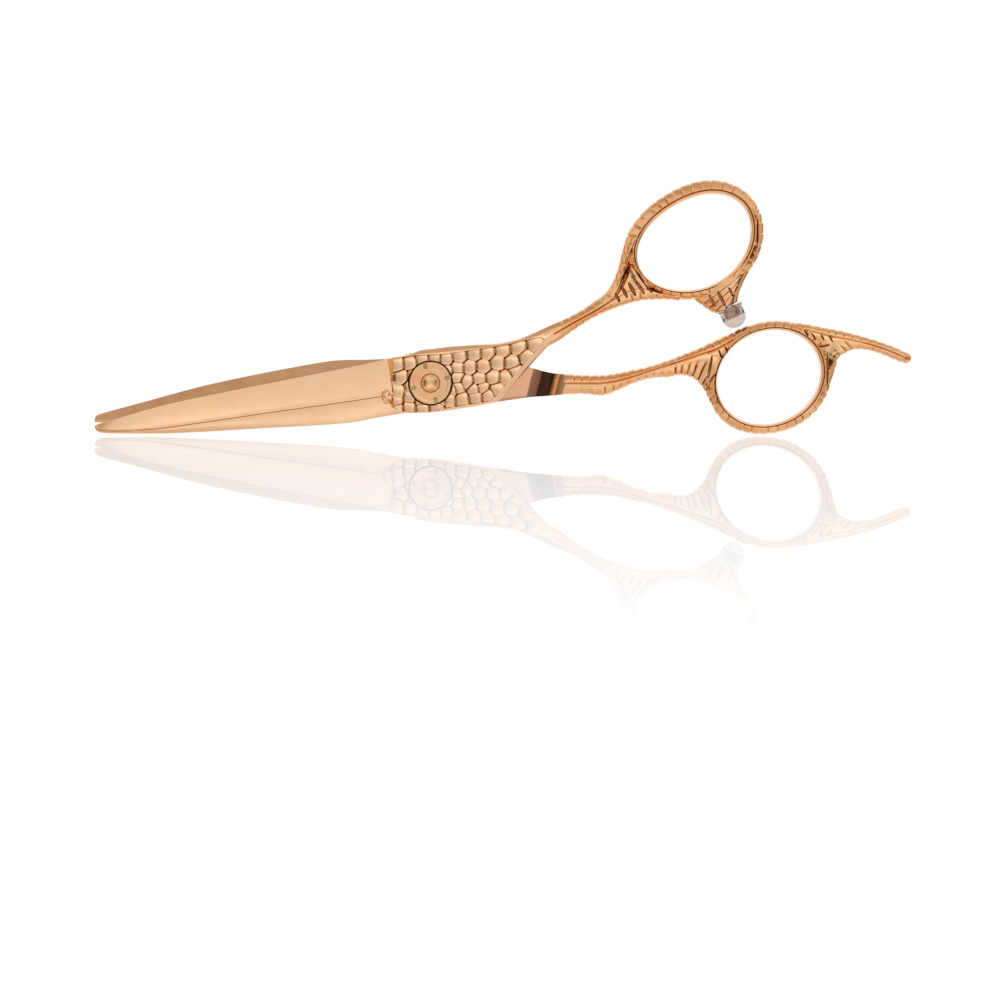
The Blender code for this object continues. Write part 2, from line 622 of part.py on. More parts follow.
def web(name, shank_left, shank_right, centre, hole, tilt, band, turns, sags, parent):
    """The thin plate that fills the fork between a shank and its ring."""
    left = oval_point(centre, hole, tilt, turns[0], band * 0.8)
    right = oval_point(centre, hole, tilt, turns[1], band * 0.8)
    outline = bowed(shank_left, left, sags[0])
    turn_step = (turns[1] - turns[0]) / 8
    outline += [oval_point(centre, hole, tilt, turns[0] + turn_step * k, band * 0.5)
                for k in range(9)]
    outline += bowed(right, shank_right, sags[1])
    outline.append(shank_right)
    return put(flat_plate(name, [p.xy for p in outline], MIDDLE - WEB_DEPTH / 2,
                          MIDDLE + WEB_DEPTH / 2), parent)


thumb_weld_middle = (WELD_THUMB[0] + WELD_THUMB[1]) / 2
thumb_span = thumb_end - thumb_weld_middle
thumb_left = Vector((-thumb_span.y, thumb_span.x, 0)).normalized()
cut(thumb_handle, web(
    "thumb_web", thumb_weld_middle + thumb_span * 0.5 + thumb_left * 1.1 * MM,
    thumb_weld_middle + thumb_span * 0.5 - thumb_left * 1.1 * MM, THUMB_CENTRE, THUMB_HOLE,
    THUMB_TILT, THUMB_BAND, THUMB_WEB_TURNS, (-0.9 * MM, -1.3 * MM),
    thumb_axis), "UNION")

boss_axis = empty("bumper_axis", thumb_axis, (BOSS_FACE.x, BOSS_FACE.y, MIDDLE))
boss_axis.rotation_mode = "QUATERNION"
boss_axis.rotation_quaternion = BUMPER_AXIS.to_track_quat("Z", "Y")
boss_length = BOSS_REACH - THUMB_BAND * 0.35
boss = turned("bumper_boss", [(0, 0), (BOSS_RADIUS, 0), (BOSS_RADIUS * 1.15, -boss_length * 0.5),
                              (BOSS_RADIUS * 1.3, -boss_length), (0, -boss_length)],
              boss_axis, closed=False, facets=20)
cut(thumb_handle, boss, "UNION")
cut(thumb_handle, plug("stud_hole", STUD_SHANK_RADIUS + BUMPER_FIT, -STUD_SHANK - BUMPER_FIT,
                       STUD_HEAD, boss_axis))

# Finger handle with its tang
finger_handle = bar("finger_handle", shank_stations(WELD_FINGER, finger_end, [
    (0.09, -0.15, 1.85, 0.3), (0.22, -0.85, 1.8, 0.75),
    (0.33, -1.2, 1.95, 1.0), (0.47, -0.15, 1.35, 1.0), (0.62, 0.1, 1.4, 1.0),
    (0.8, 0.35, 2.0, 1.0), (1.0, 0.8, 2.8, 1.0)], FINGER_WELD_DEPTH),
    finger_axis, rose_steel, (WELD_FINGER[0] - WELD_FINGER[1]).normalized())
cut(finger_handle, oval_ring("finger_ring", FINGER_CENTRE, FINGER_HOLE, FINGER_TILT, FINGER_BAND,
                             finger_axis), "UNION")
finger_weld_middle = (WELD_FINGER[0] + WELD_FINGER[1]) / 2
finger_span = finger_end - finger_weld_middle
finger_left = Vector((-finger_span.y, finger_span.x, 0)).normalized()
cut(finger_handle, web(
    "finger_web", finger_weld_middle + finger_span * 0.75 + finger_left * 1.6 * MM,
    finger_weld_middle + finger_span * 0.72 - finger_left * 1.3 * MM, FINGER_CENTRE, FINGER_HOLE,
    FINGER_TILT, FINGER_BAND, FINGER_WEB_TURNS, (0.0, -1.7 * MM),
    finger_axis), "UNION")


def tang_station(share, rise, half_width):
    """A station on the tang; share runs from the ring hole's middle to the tang's end."""
    x = FINGER_RING_X + TANG_REACH * share
    return (x, FINGER_RING_Y + rise * MM, MIDDLE, half_width * MM, RING_DEPTH * 0.32)


ring_side = oval_point(FINGER_CENTRE, FINGER_HOLE, FINGER_TILT, TANG_TURN, FINGER_BAND / 2)
tang_stations = [(ring_side.x, ring_side.y, MIDDLE, 1.2 * MM, RING_DEPTH * 0.4),
                 tang_station(0.46, 7.0, 3.0), tang_station(0.54, 7.1, 2.2),
                 tang_station(0.62, 7.3, 1.65),
                 tang_station(0.72, 7.15, 1.35), tang_station(0.86, 5.8, 1.2),
                 tang_station(1.0, 3.95, 1.05)]
cut(finger_handle, bar("tang", tang_stations, finger_axis), "UNION")
knob_mesh = bpy.data.meshes.new("tang_knob")
work = bmesh.new()
bmesh.ops.create_uvsphere(work, u_segments=12, v_segments=8, radius=KNOB_RADIUS)
work.to_mesh(knob_mesh)
work.free()
knob = put(bpy.data.objects.new("tang_knob", knob_mesh), finger_axis)
knob.location = (tang_stations[-1][0], tang_stations[-1][1], MIDDLE)
cut(finger_handle, knob, "UNION")

# ---------------------------------------------------------------- bumper

bumper_stud = turned("bumper_stud", [
    (0, STUD_HEAD + BUMPER_FIT), (STUD_HEAD_RADIUS - STUD_BEVEL, STUD_HEAD + BUMPER_FIT),
    (STUD_HEAD_RADIUS, STUD_HEAD + BUMPER_FIT - STUD_BEVEL), (STUD_RADIUS, CAP_LIP_HEIGHT),
    (STUD_RADIUS, BUMPER_FIT), (STUD_SHANK_RADIUS, BUMPER_FIT),
    (STUD_SHANK_RADIUS, -STUD_SHANK), (0, -STUD_SHANK)],
    boss_axis, bare_steel, facets=20, closed=False)
cap_bore = STUD_HEAD_RADIUS + CAP_FIT
cap_base = BUMPER_FIT
cap_roof = STUD_HEAD + BUMPER_FIT + CAP_FIT
dome = [(CAP_RADIUS * math.cos(a), cap_base + CAP_STRAIGHT + CAP_DOME * math.sin(a))
        for a in (math.pi / 2 * (5 - k) / 5 for k in range(5))]
dome[0] = (0, dome[0][1])
bumper_cap = turned("bumper_cap", dome + [
    (CAP_RADIUS, cap_base + CAP_STRAIGHT), (CAP_RADIUS, cap_base + CAP_LIP_HEIGHT + CAP_FIT),
    (CAP_LIP, cap_base + CAP_LIP_HEIGHT), (CAP_LIP, cap_base), (cap_bore, cap_base),
    (cap_bore, cap_roof), (0, cap_roof + CAP_FIT)],
    boss_axis, clear_silicone, facets=24, closed=False, smooth=True)
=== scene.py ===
"""Hair cutting shears in polished rose gold: fine shapes, finishes, studio and camera.

The shears stand on edge, as they are packed: x runs from the pivot towards the finger rings,
z up, and the front faces -Y.  Heights are measured forwards from the flat head of the pivot
screw, so a height of 7.3 mm is the face of the tension dial.
"""

import math
import random

import bmesh
import bpy
from mathutils import Matrix, Vector, kdtree


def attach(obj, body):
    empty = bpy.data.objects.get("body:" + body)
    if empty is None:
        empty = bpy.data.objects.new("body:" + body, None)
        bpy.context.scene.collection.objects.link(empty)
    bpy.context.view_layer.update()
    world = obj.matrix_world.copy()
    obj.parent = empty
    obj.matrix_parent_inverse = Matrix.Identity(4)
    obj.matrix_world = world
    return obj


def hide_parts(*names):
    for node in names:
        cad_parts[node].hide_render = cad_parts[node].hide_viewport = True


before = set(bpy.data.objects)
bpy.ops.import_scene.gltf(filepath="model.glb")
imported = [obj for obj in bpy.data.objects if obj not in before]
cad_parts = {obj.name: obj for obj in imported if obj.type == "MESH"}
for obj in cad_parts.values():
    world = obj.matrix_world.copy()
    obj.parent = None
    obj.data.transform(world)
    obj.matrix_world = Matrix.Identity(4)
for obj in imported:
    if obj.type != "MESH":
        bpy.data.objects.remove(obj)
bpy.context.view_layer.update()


# ---------------------------------------------------------------- studio
# A white tent with one soft box above, one at the left and dark cards at both sides, which draw
# the dark lines on the polished metal.  The shears stand just above a thin clear sheet that
# mirrors them faintly; the pale floor lies further down, below the opened blade.

MM = 0.001
VIEW_CENTRE = Vector((14.2, -3.65, -24.1)) * MM
VIEW_WIDTH = 206 * MM
VIEW_PITCH = math.radians(3.0)
SHEET_LEVEL = -10.75 * MM
FLOOR_LEVEL = -90 * MM
TENT_WHITE = (1.0, 0.985, 0.97)

camera = bpy.data.cameras.new("studio_camera")
camera.lens = 100
camera.sensor_width = 36
camera.clip_start = 0.01
camera_stand = bpy.data.objects.new("studio_camera", camera)
bpy.context.scene.collection.objects.link(camera_stand)
camera_reach = VIEW_WIDTH * camera.lens / camera.sensor_width
camera_back = Vector((0, -math.cos(VIEW_PITCH), math.sin(VIEW_PITCH)))
camera_stand.location = VIEW_CENTRE + camera_back * camera_reach
camera_stand.rotation_euler = (math.pi / 2 - VIEW_PITCH, 0, 0)
bpy.context.scene.camera = camera_stand
bpy.context.scene.view_settings.view_transform = "Standard"


def finish(name):
    """A new material: its shader, a maker of linked nodes, and the links."""
    mat = bpy.data.materials.new(name)
    mat.use_nodes = True
    tree = mat.node_tree
    shader = tree.nodes["Principled BSDF"]

    def node(kind, **settings):
        made = tree.nodes.new("ShaderNode" + kind)
        for key, value in settings.items():
            if key.startswith("in_"):
                made.inputs[key[3:].replace("_", " ")].default_value = value
            else:
                setattr(made, key, value)
        return made

    return mat, shader, node, tree.links.new


def ramp_stops(ramp, stops):
    """Fill a colour ramp with (place, colour) stops."""
    while len(ramp.color_ramp.elements) < len(stops):
        ramp.color_ramp.elements.new(0.5)
    for element, (place, colour) in zip(ramp.color_ramp.elements, stops):
        element.position = place
        element.color = (*colour, 1.0) if len(colour) == 3 else colour


def rescale(node, link, source, **limits):
    """Map one range of values onto another; the limits are given as in_From_Min and so on."""
    change = node("MapRange", **limits)
    link(source, change.inputs["Value"])
    return change.outputs["Result"]


def mingle(node, link, place, noise, tones, spread=(0.3, 0.7)):
    """Two tones mingled by fine noise, which lies on a place's coordinates if one is given."""
    cloud = node("TexNoise", **noise)
    if place:
        link(place.outputs["Object"], cloud.inputs["Vector"])
    tone = node("ValToRGB")
    ramp_stops(tone, list(zip(spread, tones)))
    link(cloud.outputs["Fac"], tone.inputs["Fac"])
    return cloud.outputs["Fac"], tone.outputs["Color"]


def grey(level):
    """A nearly neutral, slightly warm grey of the tent's cloth."""
    return (level, level * 0.985, level * 0.965)


WARM = (0.86, 0.70, 0.54)
ROOF = (0.62, 0.52, 0.43)

tent = bpy.data.worlds.new("white_tent")
bpy.context.scene.world = tent
tent.use_nodes = True
tent.node_tree.nodes.clear()


def tent_node(kind):
    return tent.node_tree.nodes.new("ShaderNode" + kind)


tent_link = tent.node_tree.links.new
direction = tent_node("TexCoord")
axes = tent_node("SeparateXYZ")
tent_link(direction.outputs["Generated"], axes.inputs["Vector"])
# Up and down: an even wall behind the lens, a brighter shoulder and a dim, warm roof
climb = tent_node("ValToRGB")
ramp_stops(climb, [(0.0, WARM), (0.08, grey(0.78)), (0.16, grey(1.07)), (0.28, grey(0.86)),
                   (0.40, grey(0.76)), (0.50, grey(0.80)), (0.57, grey(0.84)), (0.65, grey(1.04)),
                   (0.71, grey(1.28)), (0.77, grey(1.03)), (0.87, grey(0.96)), (0.94, ROOF),
                   (1.0, ROOF)])
# Left and right: warm walls, and one dark card at each side that stands no higher than the lens
sweep = tent_node("ValToRGB")
ramp_stops(sweep, [(0.0, WARM), (0.12, WARM), (0.20, grey(0.84)), (0.36, grey(0.90)),
                   (0.50, grey(1.05)), (0.64, grey(1.16)), (0.82, grey(0.82)), (0.95, WARM)])
card_side = tent_node("ValToRGB")
ramp_stops(card_side, [(0.06, grey(0.0)), (0.085, grey(0.9)), (0.13, grey(0.9)),
                       (0.17, grey(0.0)), (0.80, grey(0.0)), (0.84, grey(1.0)),
                       (0.93, grey(1.0)), (0.96, grey(0.0))])
card_low = tent_node("ValToRGB")
ramp_stops(card_low, [(0.25, grey(0.0)), (0.33, grey(1.0)), (0.66, grey(1.0)), (0.74, grey(0.0))])


def tent_blend(kind, first, second):
    """Blend two colours of the tent; second may be a colour or another node's output."""
    step = tent_node("Mix")
    step.data_type = "RGBA"
    step.blend_type = kind
    step.inputs["Factor"].default_value = 1.0
    tent_link(first, step.inputs["A"])
    if isinstance(second, tuple):
        step.inputs["B"].default_value = (*second, 1.0)
    else:
        tent_link(second, step.inputs["B"])
    return step


for axis, ramps in (("Z", (climb, card_low)), ("X", (sweep, card_side))):
    halve = tent_node("MapRange")
    halve.inputs["From Min"].default_value = -1.0
    tent_link(axes.outputs[axis], halve.inputs["Value"])
    for ramp in ramps:
        tent_link(halve.outputs["Result"], ramp.inputs["Fac"])
inside = tent_blend("MULTIPLY", climb.outputs["Color"], sweep.outputs["Color"])
card = tent_blend("MULTIPLY", card_low.outputs["Color"], card_side.outputs["Color"])
inside = tent_blend("MIX", inside.outputs["Result"], (0.025, 0.018, 0.014))
tent_link(card.outputs["Result"], inside.inputs["Factor"])
# The far wall, behind the shears, is plain white
far = tent_node("ValToRGB")
ramp_stops(far, [(0.55, grey(0.0)), (0.75, grey(1.0))])
tent_link(axes.outputs["Y"], far.inputs["Fac"])
both = tent_blend("MIX", inside.outputs["Result"], (1.0, 1.0, 1.0))
tent_link(far.outputs["Color"], both.inputs["Factor"])
# The lens sees white, polished metal mirrors the tent, and everything is lit by an even white
seen = tent_node("Background")
seen.inputs["Color"].default_value = (1.0, 1.0, 1.0, 1.0)
mirrored = tent_node("Background")
tent_link(both.outputs["Result"], mirrored.inputs["Color"])
flat_light = tent_node("Background")
flat_light.inputs["Color"].default_value = (1.0, 1.0, 1.0, 1.0)
flat_light.inputs["Strength"].default_value = 1.07
rays = tent_node("LightPath")
by_gloss = tent_node("MixShader")
tent_link(rays.outputs["Is Glossy Ray"], by_gloss.inputs["Fac"])
tent_link(flat_light.outputs["Background"], by_gloss.inputs[1])
tent_link(mirrored.outputs["Background"], by_gloss.inputs[2])
by_eye = tent_node("MixShader")
tent_link(rays.outputs["Is Camera Ray"], by_eye.inputs["Fac"])
tent_link(by_gloss.outputs["Shader"], by_eye.inputs[1])
tent_link(seen.outputs["Background"], by_eye.inputs[2])
tent_out = tent_node("OutputWorld")
tent_link(by_eye.outputs["Shader"], tent_out.inputs["Surface"])


def soft_box(name, place, size, power):
    lamp = bpy.data.lights.new(name, "AREA")
    lamp.shape = "RECTANGLE"
    lamp.size = size[0]
    lamp.size_y = size[1]
    lamp.energy = power
    lamp.color = TENT_WHITE
    stand = bpy.data.objects.new(name, lamp)
    bpy.context.scene.collection.objects.link(stand)
    stand.location = place
    stand.visible_glossy = False
    stand.rotation_euler = (VIEW_CENTRE - Vector(place)).to_track_quat("-Z", "Y").to_euler()


soft_box("top_box", (0.10, -0.28, 0.50), (0.50, 0.16), 0.55)
soft_box("left_box", (-0.42, -0.45, 0.16), (0.12, 0.30), 0.35)


def stage_sheet(name, level, low, high, mat):
    """A flat sheet between two (x, y) corners."""
    mesh = bpy.data.meshes.new(name)
    corners = [(low[0], low[1], level), (high[0], low[1], level), (high[0], high[1], level),
               (low[0], high[1], level)]
    mesh.from_pydata(corners, [], [(0, 1, 2, 3)])
    mesh.materials.append(mat)
    sheet = bpy.data.objects.new(name, mesh)
    bpy.context.scene.collection.objects.link(sheet)
    return sheet


floor_paint, shader, node, link = finish("pale_floor")
shader.inputs["Roughness"].default_value = 0.9
shader.inputs["Specular IOR Level"].default_value = 0.0
paint = mingle(node, link, None, {"in_Scale": 900.0, "in_Detail": 3.0},
               ((0.93, 0.93, 0.93), (0.95, 0.95, 0.95)))[1]
link(paint, shader.inputs["Base Color"])
pale_floor = stage_sheet("pale_floor", FLOOR_LEVEL, (-4.0, -4.0), (4.0, 4.0), floor_paint)
pale_floor.visible_glossy = False

clear_sheet, shader, node, link = finish("clear_sheet")
coords = node("TexCoord")
spread = node("SeparateXYZ")
link(coords.outputs["Object"], spread.inputs["Vector"])


def coat_fade(axis, start, end, strengths):
    """How strong the mirror coat is along one axis of the sheet, as (place, strength) stops."""
    fade = node("ValToRGB")
    ramp_stops(fade, [(place, (strength,) * 3) for place, strength in strengths])
    along = rescale(node, link, spread.outputs[axis], in_From_Min=start, in_From_Max=end)
    link(along, fade.inputs["Fac"])
    return fade.outputs["Color"]


front_fade = coat_fade("Y", -0.5, 0.01, [(0.0, 0.02), (0.14, 0.07), (0.34, 0.28), (0.64, 0.39),
                                         (0.975, 0.44), (0.985, 0.0)])
end_fade = coat_fade("X", -0.095, 0.125, [(0.0, 0.0), (0.11, 1.0), (0.89, 1.0), (1.0, 0.0)])
glass = node("BsdfTransparent")
mirror = node("BsdfGlossy", in_Roughness=0.0, in_Color=(1.0, 1.0, 1.0, 1.0))
coat = node("MixShader")
strength = node("Fresnel", in_IOR=1.45).outputs["Fac"]
for fade in (front_fade, end_fade):
    weaker = node("Math", operation="MULTIPLY")
    link(fade, weaker.inputs[0])
    link(strength, weaker.inputs[1])
    strength = weaker.outputs["Value"]
link(strength, coat.inputs["Fac"])
link(glass.outputs["BSDF"], coat.inputs[1])
link(mirror.outputs["BSDF"], coat.inputs[2])
link(coat.outputs["Shader"], clear_sheet.node_tree.nodes["Material Output"].inputs["Surface"])
mirror_sheet = stage_sheet("clear_sheet", SHEET_LEVEL, (-0.095, -0.45), (0.125, 0.002), clear_sheet)
mirror_sheet.visible_diffuse = False
mirror_sheet.visible_glossy = False
mirror_sheet.visible_shadow = False


# ---------------------------------------------------------------- rose gold finishes
# The two halves are stainless steel under a vapour-laid rose-gold coat.  The blades are ground
# and then buffed, the pivot block and the handles are cast with their pattern and polished.

GOLD_PALE = (0.90, 0.60, 0.385)
GOLD = (0.89, 0.56, 0.33)
GOLD_RICH = (0.87, 0.48, 0.225)
GOLD_COPPER = (0.62, 0.32, 0.155)
GOLD_COPPER_PALE = (0.67, 0.375, 0.20)
# The deep copper and the near black below are painted shade, for creases and hollows
GOLD_SHADE_DEEP = (0.42, 0.17, 0.055)
CREASE_SHADE_BLACK = (0.035, 0.016, 0.008)


def rose_gold(name, smooth, tones, grind=None, relief=0.0, hollows=None):
    """Polished steel, coated or bare, in two mingled tones.

    grind is how the grinding lines stretch along x, y and z.  hollows is the (dark, deep, plain)
    curvature of a crease, where shade is painted: near black in its bottom, deep copper beside it.
    """
    mat, shader, node, link = finish(name)
    shader.inputs["Metallic"].default_value = 1.0
    place = node("TexCoord")
    colour = mingle(node, link, place, {"in_Scale": 190.0, "in_Detail": 4.0, "in_Roughness": 0.6},
                    tones, (0.35, 0.65))[1]
    # Painted shade: creases, found by their curvature, are darkened to deep copper and near black
    if hollows:
        shape = node("NewGeometry")
        for (low, high), shade in zip((hollows[1:], hollows[:2]), (GOLD_SHADE_DEEP, CREASE_SHADE_BLACK)):
            depth = node("ValToRGB")
            ramp_stops(depth, [(low, (1, 1, 1)), (high, (0, 0, 0))])
            link(shape.outputs["Pointiness"], depth.inputs["Fac"])
            mixed = node("Mix", data_type="RGBA")
            mixed.inputs["B"].default_value = (*shade, 1.0)
            link(depth.outputs["Color"], mixed.inputs["Factor"])
            link(colour, mixed.inputs["A"])
            colour = mixed.outputs["Result"]
    link(colour, shader.inputs["Base Color"])
    smear = node("TexNoise", in_Scale=420.0, in_Detail=5.0)
    link(place.outputs["Object"], smear.inputs["Vector"])
    rough = rescale(node, link, smear.outputs["Fac"], in_To_Min=smooth, in_To_Max=smooth + 0.07)
    link(rough, shader.inputs["Roughness"])
    bump = node("Bump", in_Strength=0.25, in_Distance=0.02 * MM)
    if grind:
        stretch = node("Mapping", in_Scale=grind)
        link(place.outputs["Object"], stretch.inputs["Vector"])
        lines = node("TexNoise", in_Scale=1000.0, in_Detail=6.0, in_Roughness=0.7)
        link(stretch.outputs["Vector"], lines.inputs["Vector"])
        link(lines.outputs["Fac"], bump.inputs["Height"])
        bump.inputs["Distance"].default_value = relief * MM
        bump.inputs["Strength"].default_value = 1.0
    else:
        link(smear.outputs["Fac"], bump.inputs["Height"])
    link(bump.outputs["Normal"], shader.inputs["Normal"])
    return mat


# The ground face's darker copper tones are partly painted reflection, for the dark that its hollow
# face mirrors; its more orange hue is its own
ground_gold = rose_gold("rose_gold_ground", 0.16, (GOLD_COPPER, GOLD_COPPER_PALE),
                        grind=(3.0, 0.3, 0.12), relief=0.03)
# The buffed and the cast gold get painted shade in their creases
buffed_gold = rose_gold("rose_gold_buffed", 0.11, (GOLD, GOLD_PALE), grind=(0.06, 1.0, 1.6),
                        relief=0.006, hollows=(0.43, 0.462, 0.478))
cast_gold = rose_gold("rose_gold_cast", 0.10, (GOLD_RICH, GOLD), hollows=(0.41, 0.45, 0.485))
# Painted shade for the leaf hollows: near black, and deep copper
leaf_shade_dark = rose_gold("rose_gold_leaf_shade_dark", 0.28, (CREASE_SHADE_BLACK, GOLD_SHADE_DEEP))
leaf_shade_copper = rose_gold("rose_gold_leaf_shade_copper", 0.22, (GOLD_SHADE_DEEP, GOLD_COPPER))


# ---------------------------------------------------------------- thumb blade
# The front blade, forged in one piece with its pivot block.  A long light face falls from the
# cutting edge to the ridge, a narrower bevel runs on to the spine, and the inner face is hollow.

FINGER_INNER = 3.5             # heights of the two halves' inner faces and of the block's face
THUMB_INNER = 3.8
FRONT_FACE = 7.2
HOLLOW = 0.12
EDGE_LAND = 0.1
TIP = -69.1
ROOT = -4.8

THUMB_EDGE = [(-69.1, -8.75), (-68.6, -8.5), (-67.5, -8.2), (-55.5, -4.7), (-45.9, -2.6),
              (-34.5, -0.3), (-21.9, 2.2), (-13.9, 3.8), (-8.9, 5.0), (-4.7, 5.8)]
THUMB_RIDGE = [(-69.1, -9.0), (-68.6, -9.4), (-67.0, -9.75), (-59.7, -9.6), (-44.6, -7.6),
               (-34.5, -6.1), (-18.8, -3.9), (-10.1, -2.6), (-6.0, -2.1)]
THUMB_SPINE = [(-69.1, -9.2), (-68.9, -9.6), (-68.5, -10.0), (-67.8, -10.25), (-63.9, -10.4),
               (-55.5, -10.4), (-47.1, -10.05), (-34.5, -9.3), (-21.9, -8.6), (-15.6, -8.0),
               (-11.4, -7.2), (-6.4, -6.35), (-4.8, -6.1)]


def spot(x, z, height):
    """A point from its place on the shears and its height, all in mm."""
    return Vector((x, -height, z)) * MM


def eased(knots, x):
    """The value at x on a smooth line through (x, value) knots, which run from left to right."""
    if x <= knots[0][0]:
        return knots[0][1]
    if x >= knots[-1][0]:
        return knots[-1][1]
    last = len(knots) - 1
    i = next(k for k in range(1, last + 1) if x <= knots[k][0])
    slopes = []
    for k in (i - 1, i):
        before, after = knots[max(k - 1, 0)], knots[min(k + 1, last)]
        slopes.append((after[1] - before[1]) / (after[0] - before[0]))
    (x0, y0), (x1, y1) = knots[i - 1], knots[i]
    t = (x - x0) / (x1 - x0)
    lift = (x1 - x0) * t * (1 - t)
    return (y0 * (1 + 2 * t) * (1 - t) ** 2 + y1 * t * t * (3 - 2 * t)
            + lift * (slopes[0] * (1 - t) - slopes[1] * t))


def as_piece(name, mesh, work, weld=0.0):
    """Finish a mesh from its working copy, with faces outwards, and put it in the scene."""
    if weld:
        bmesh.ops.remove_doubles(work, verts=work.verts, dist=weld)
    bmesh.ops.recalc_face_normals(work, faces=work.faces)
    work.to_mesh(mesh)
    work.free()
    piece = bpy.data.objects.new(name, mesh)
    bpy.context.scene.collection.objects.link(piece)
    return piece


def skin(name, rows, closed=False):
    """A closed mesh over rows of points; each row is a loop, and the rows may close on
    themselves."""
    count = len(rows[0])
    points = [point for row in rows for point in row]
    faces = []
    spans = len(rows) if closed else len(rows) - 1
    for r in range(spans):
        near = r * count
        far = (r + 1) % len(rows) * count
        for i in range(count):
            j = (i + 1) % count
            faces.append((near + i, near + j, far + j, far + i))
    if not closed:
        faces.append(tuple(reversed(range(count))))
        faces.append(tuple(range(len(points) - count, len(points))))
    mesh = bpy.data.meshes.new(name)
    mesh.from_pydata(points, [], faces)
    work = bmesh.new()
    work.from_mesh(mesh)
    return as_piece(name, mesh, work)


def combine(target, tools, operation="UNION"):
    """Weld other solids to a piece, or cut them from it, and throw the tools away."""
    for tool in tools:
        step = target.modifiers.new(tool.name, "BOOLEAN")
        step.operation = operation
        step.solver = "MANIFOLD"
        step.object = tool
    graph = bpy.context.evaluated_depsgraph_get()
    mesh = bpy.data.meshes.new_from_object(target.evaluated_get(graph))
    target.modifiers.clear()
    old = target.data
    target.data = mesh
    bpy.data.meshes.remove(old)
    mesh.name = target.name
    for tool in tools:
        bpy.data.meshes.remove(tool.data)
    return target


def dress(piece, mat, body, stands_for, crisp=32):
    """Give a piece its finish, smooth shading with crisp edges and its body, and hide the CAD node
    that it stands for.
    """
    piece.data.materials.clear()
    piece.data.materials.append(mat)
    piece.data.shade_smooth()
    piece.data.set_sharp_from_angle(angle=math.radians(crisp))
    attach(piece, body)
    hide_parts(stands_for)


def blade_thickness(x):
    return 2.9 + (1.0 - 2.9) * (-x / 69.2 - 0.09) / 0.91


def blade_stations(tip, root):
    """Places along a blade, close together at the tip and even after it."""
    fine = [tip + 0.08 * k for k in range(20)]
    steps = 190
    return fine + [fine[-1] + (root - fine[-1]) * k / steps for k in range(1, steps + 1)]


def blade_row(x, edge, ridge, spine, inner, outwards):
    """One loop round a blade: edge land, bowed face, rounded ridge, bevel, spine, hollow."""
    thick = blade_thickness(x)
    lift = min(1.0, (x - TIP + 0.35) / 1.2)
    thick *= lift
    row = [(edge, 0.0), (edge, EDGE_LAND * lift)]
    bow = 0.05 * (ridge - edge)
    for k in range(1, 13):
        t = k / 13
        row.append((edge + (ridge - edge) * t,
                    EDGE_LAND * lift + (thick - EDGE_LAND * lift) * t
                    + abs(bow) * 4 * t * (1 - t) * 0.5))
    side = 1 if ridge > edge else -1
    lip = min(0.26, abs(spine - ridge) * 0.2)
    for across, drop in ((-0.6, 0.0), (-0.3, -0.045), (0.1, -0.05), (0.35, 0.0), (0.6, 0.13),
                         (0.8, 0.16), (1.0, 0.13), (1.4, 0.08)):
        row.append((ridge + side * lip * across, thick - drop * lift))
    heel = thick * 0.45
    start = ridge + side * lip * 1.4
    for k in range(1, 9):
        t = k / 9
        row.append((start + (spine - start) * t,
                    thick - 0.08 * lift + (heel - thick + 0.08 * lift) * t
                    + 0.12 * lift * 4 * t * (1 - t)))
    row.append((spine - side * 0.03, heel - 0.02))
    row.append((spine, heel - 0.12 * lift))
    row.append((spine, 0.12 * lift))
    row.append((spine - side * 0.08, 0.0))
    for k in range(1, 8):
        t = k / 8
        row.append((spine + (edge - spine) * t, HOLLOW * lift * 4 * t * (1 - t)))
    return [spot(x, z, inner + outwards * height) for z, height in row]


thumb_blade = skin("thumb_blade_forged", [
    blade_row(x, eased(THUMB_EDGE, x), eased(THUMB_RIDGE, x), eased(THUMB_SPINE, x),
              THUMB_INNER, 1)
    for x in blade_stations(TIP, ROOT)])

# The pivot block grows out of the blade's root.  Its face carries rows of hammered scales, each
# a polished dome that stands proud at its right edge, inside a smooth border.
BLOCK_TOP = [(-8.9, 5.0), (-4.7, 5.8), (-2.1, 6.7), (0.5, 7.0), (5.0, 7.5), (9.7, 7.85),
             (13.7, 8.1), (17.6, 8.9), (21.5, 10.4), (24.2, 11.6), (25.4, 12.15)]
BLOCK_BOTTOM = [(-8.9, -4.4), (-7.4, -5.2), (-5.6, -6.0), (-4.2, -6.15), (0.5, -6.0),
                (7.1, -5.1), (12.6, -4.1), (13.9, -3.6), (20.2, 3.4), (24.7, 8.2),
                (25.4, 8.75)]
PANEL_TOP = [(-8.9, 4.9), (-4.0, 5.55), (-2.0, 5.75), (2.1, 5.95), (7.1, 6.6), (10.0, 7.0),
             (15.8, 7.9), (19.4, 8.8), (22.6, 9.4), (23.5, 8.95), (25.4, 10.4)]
PANEL_BOTTOM = [(-8.9, -4.2), (-7.4, -5.0), (-5.6, -5.8), (-4.2, -5.95), (0.0, -5.8),
                (5.8, -4.75), (11.5, -3.85), (12.7, -3.4), (15.0, -0.8), (18.9, 3.6),
                (22.1, 7.1), (23.5, 8.75), (25.4, 10.3)]
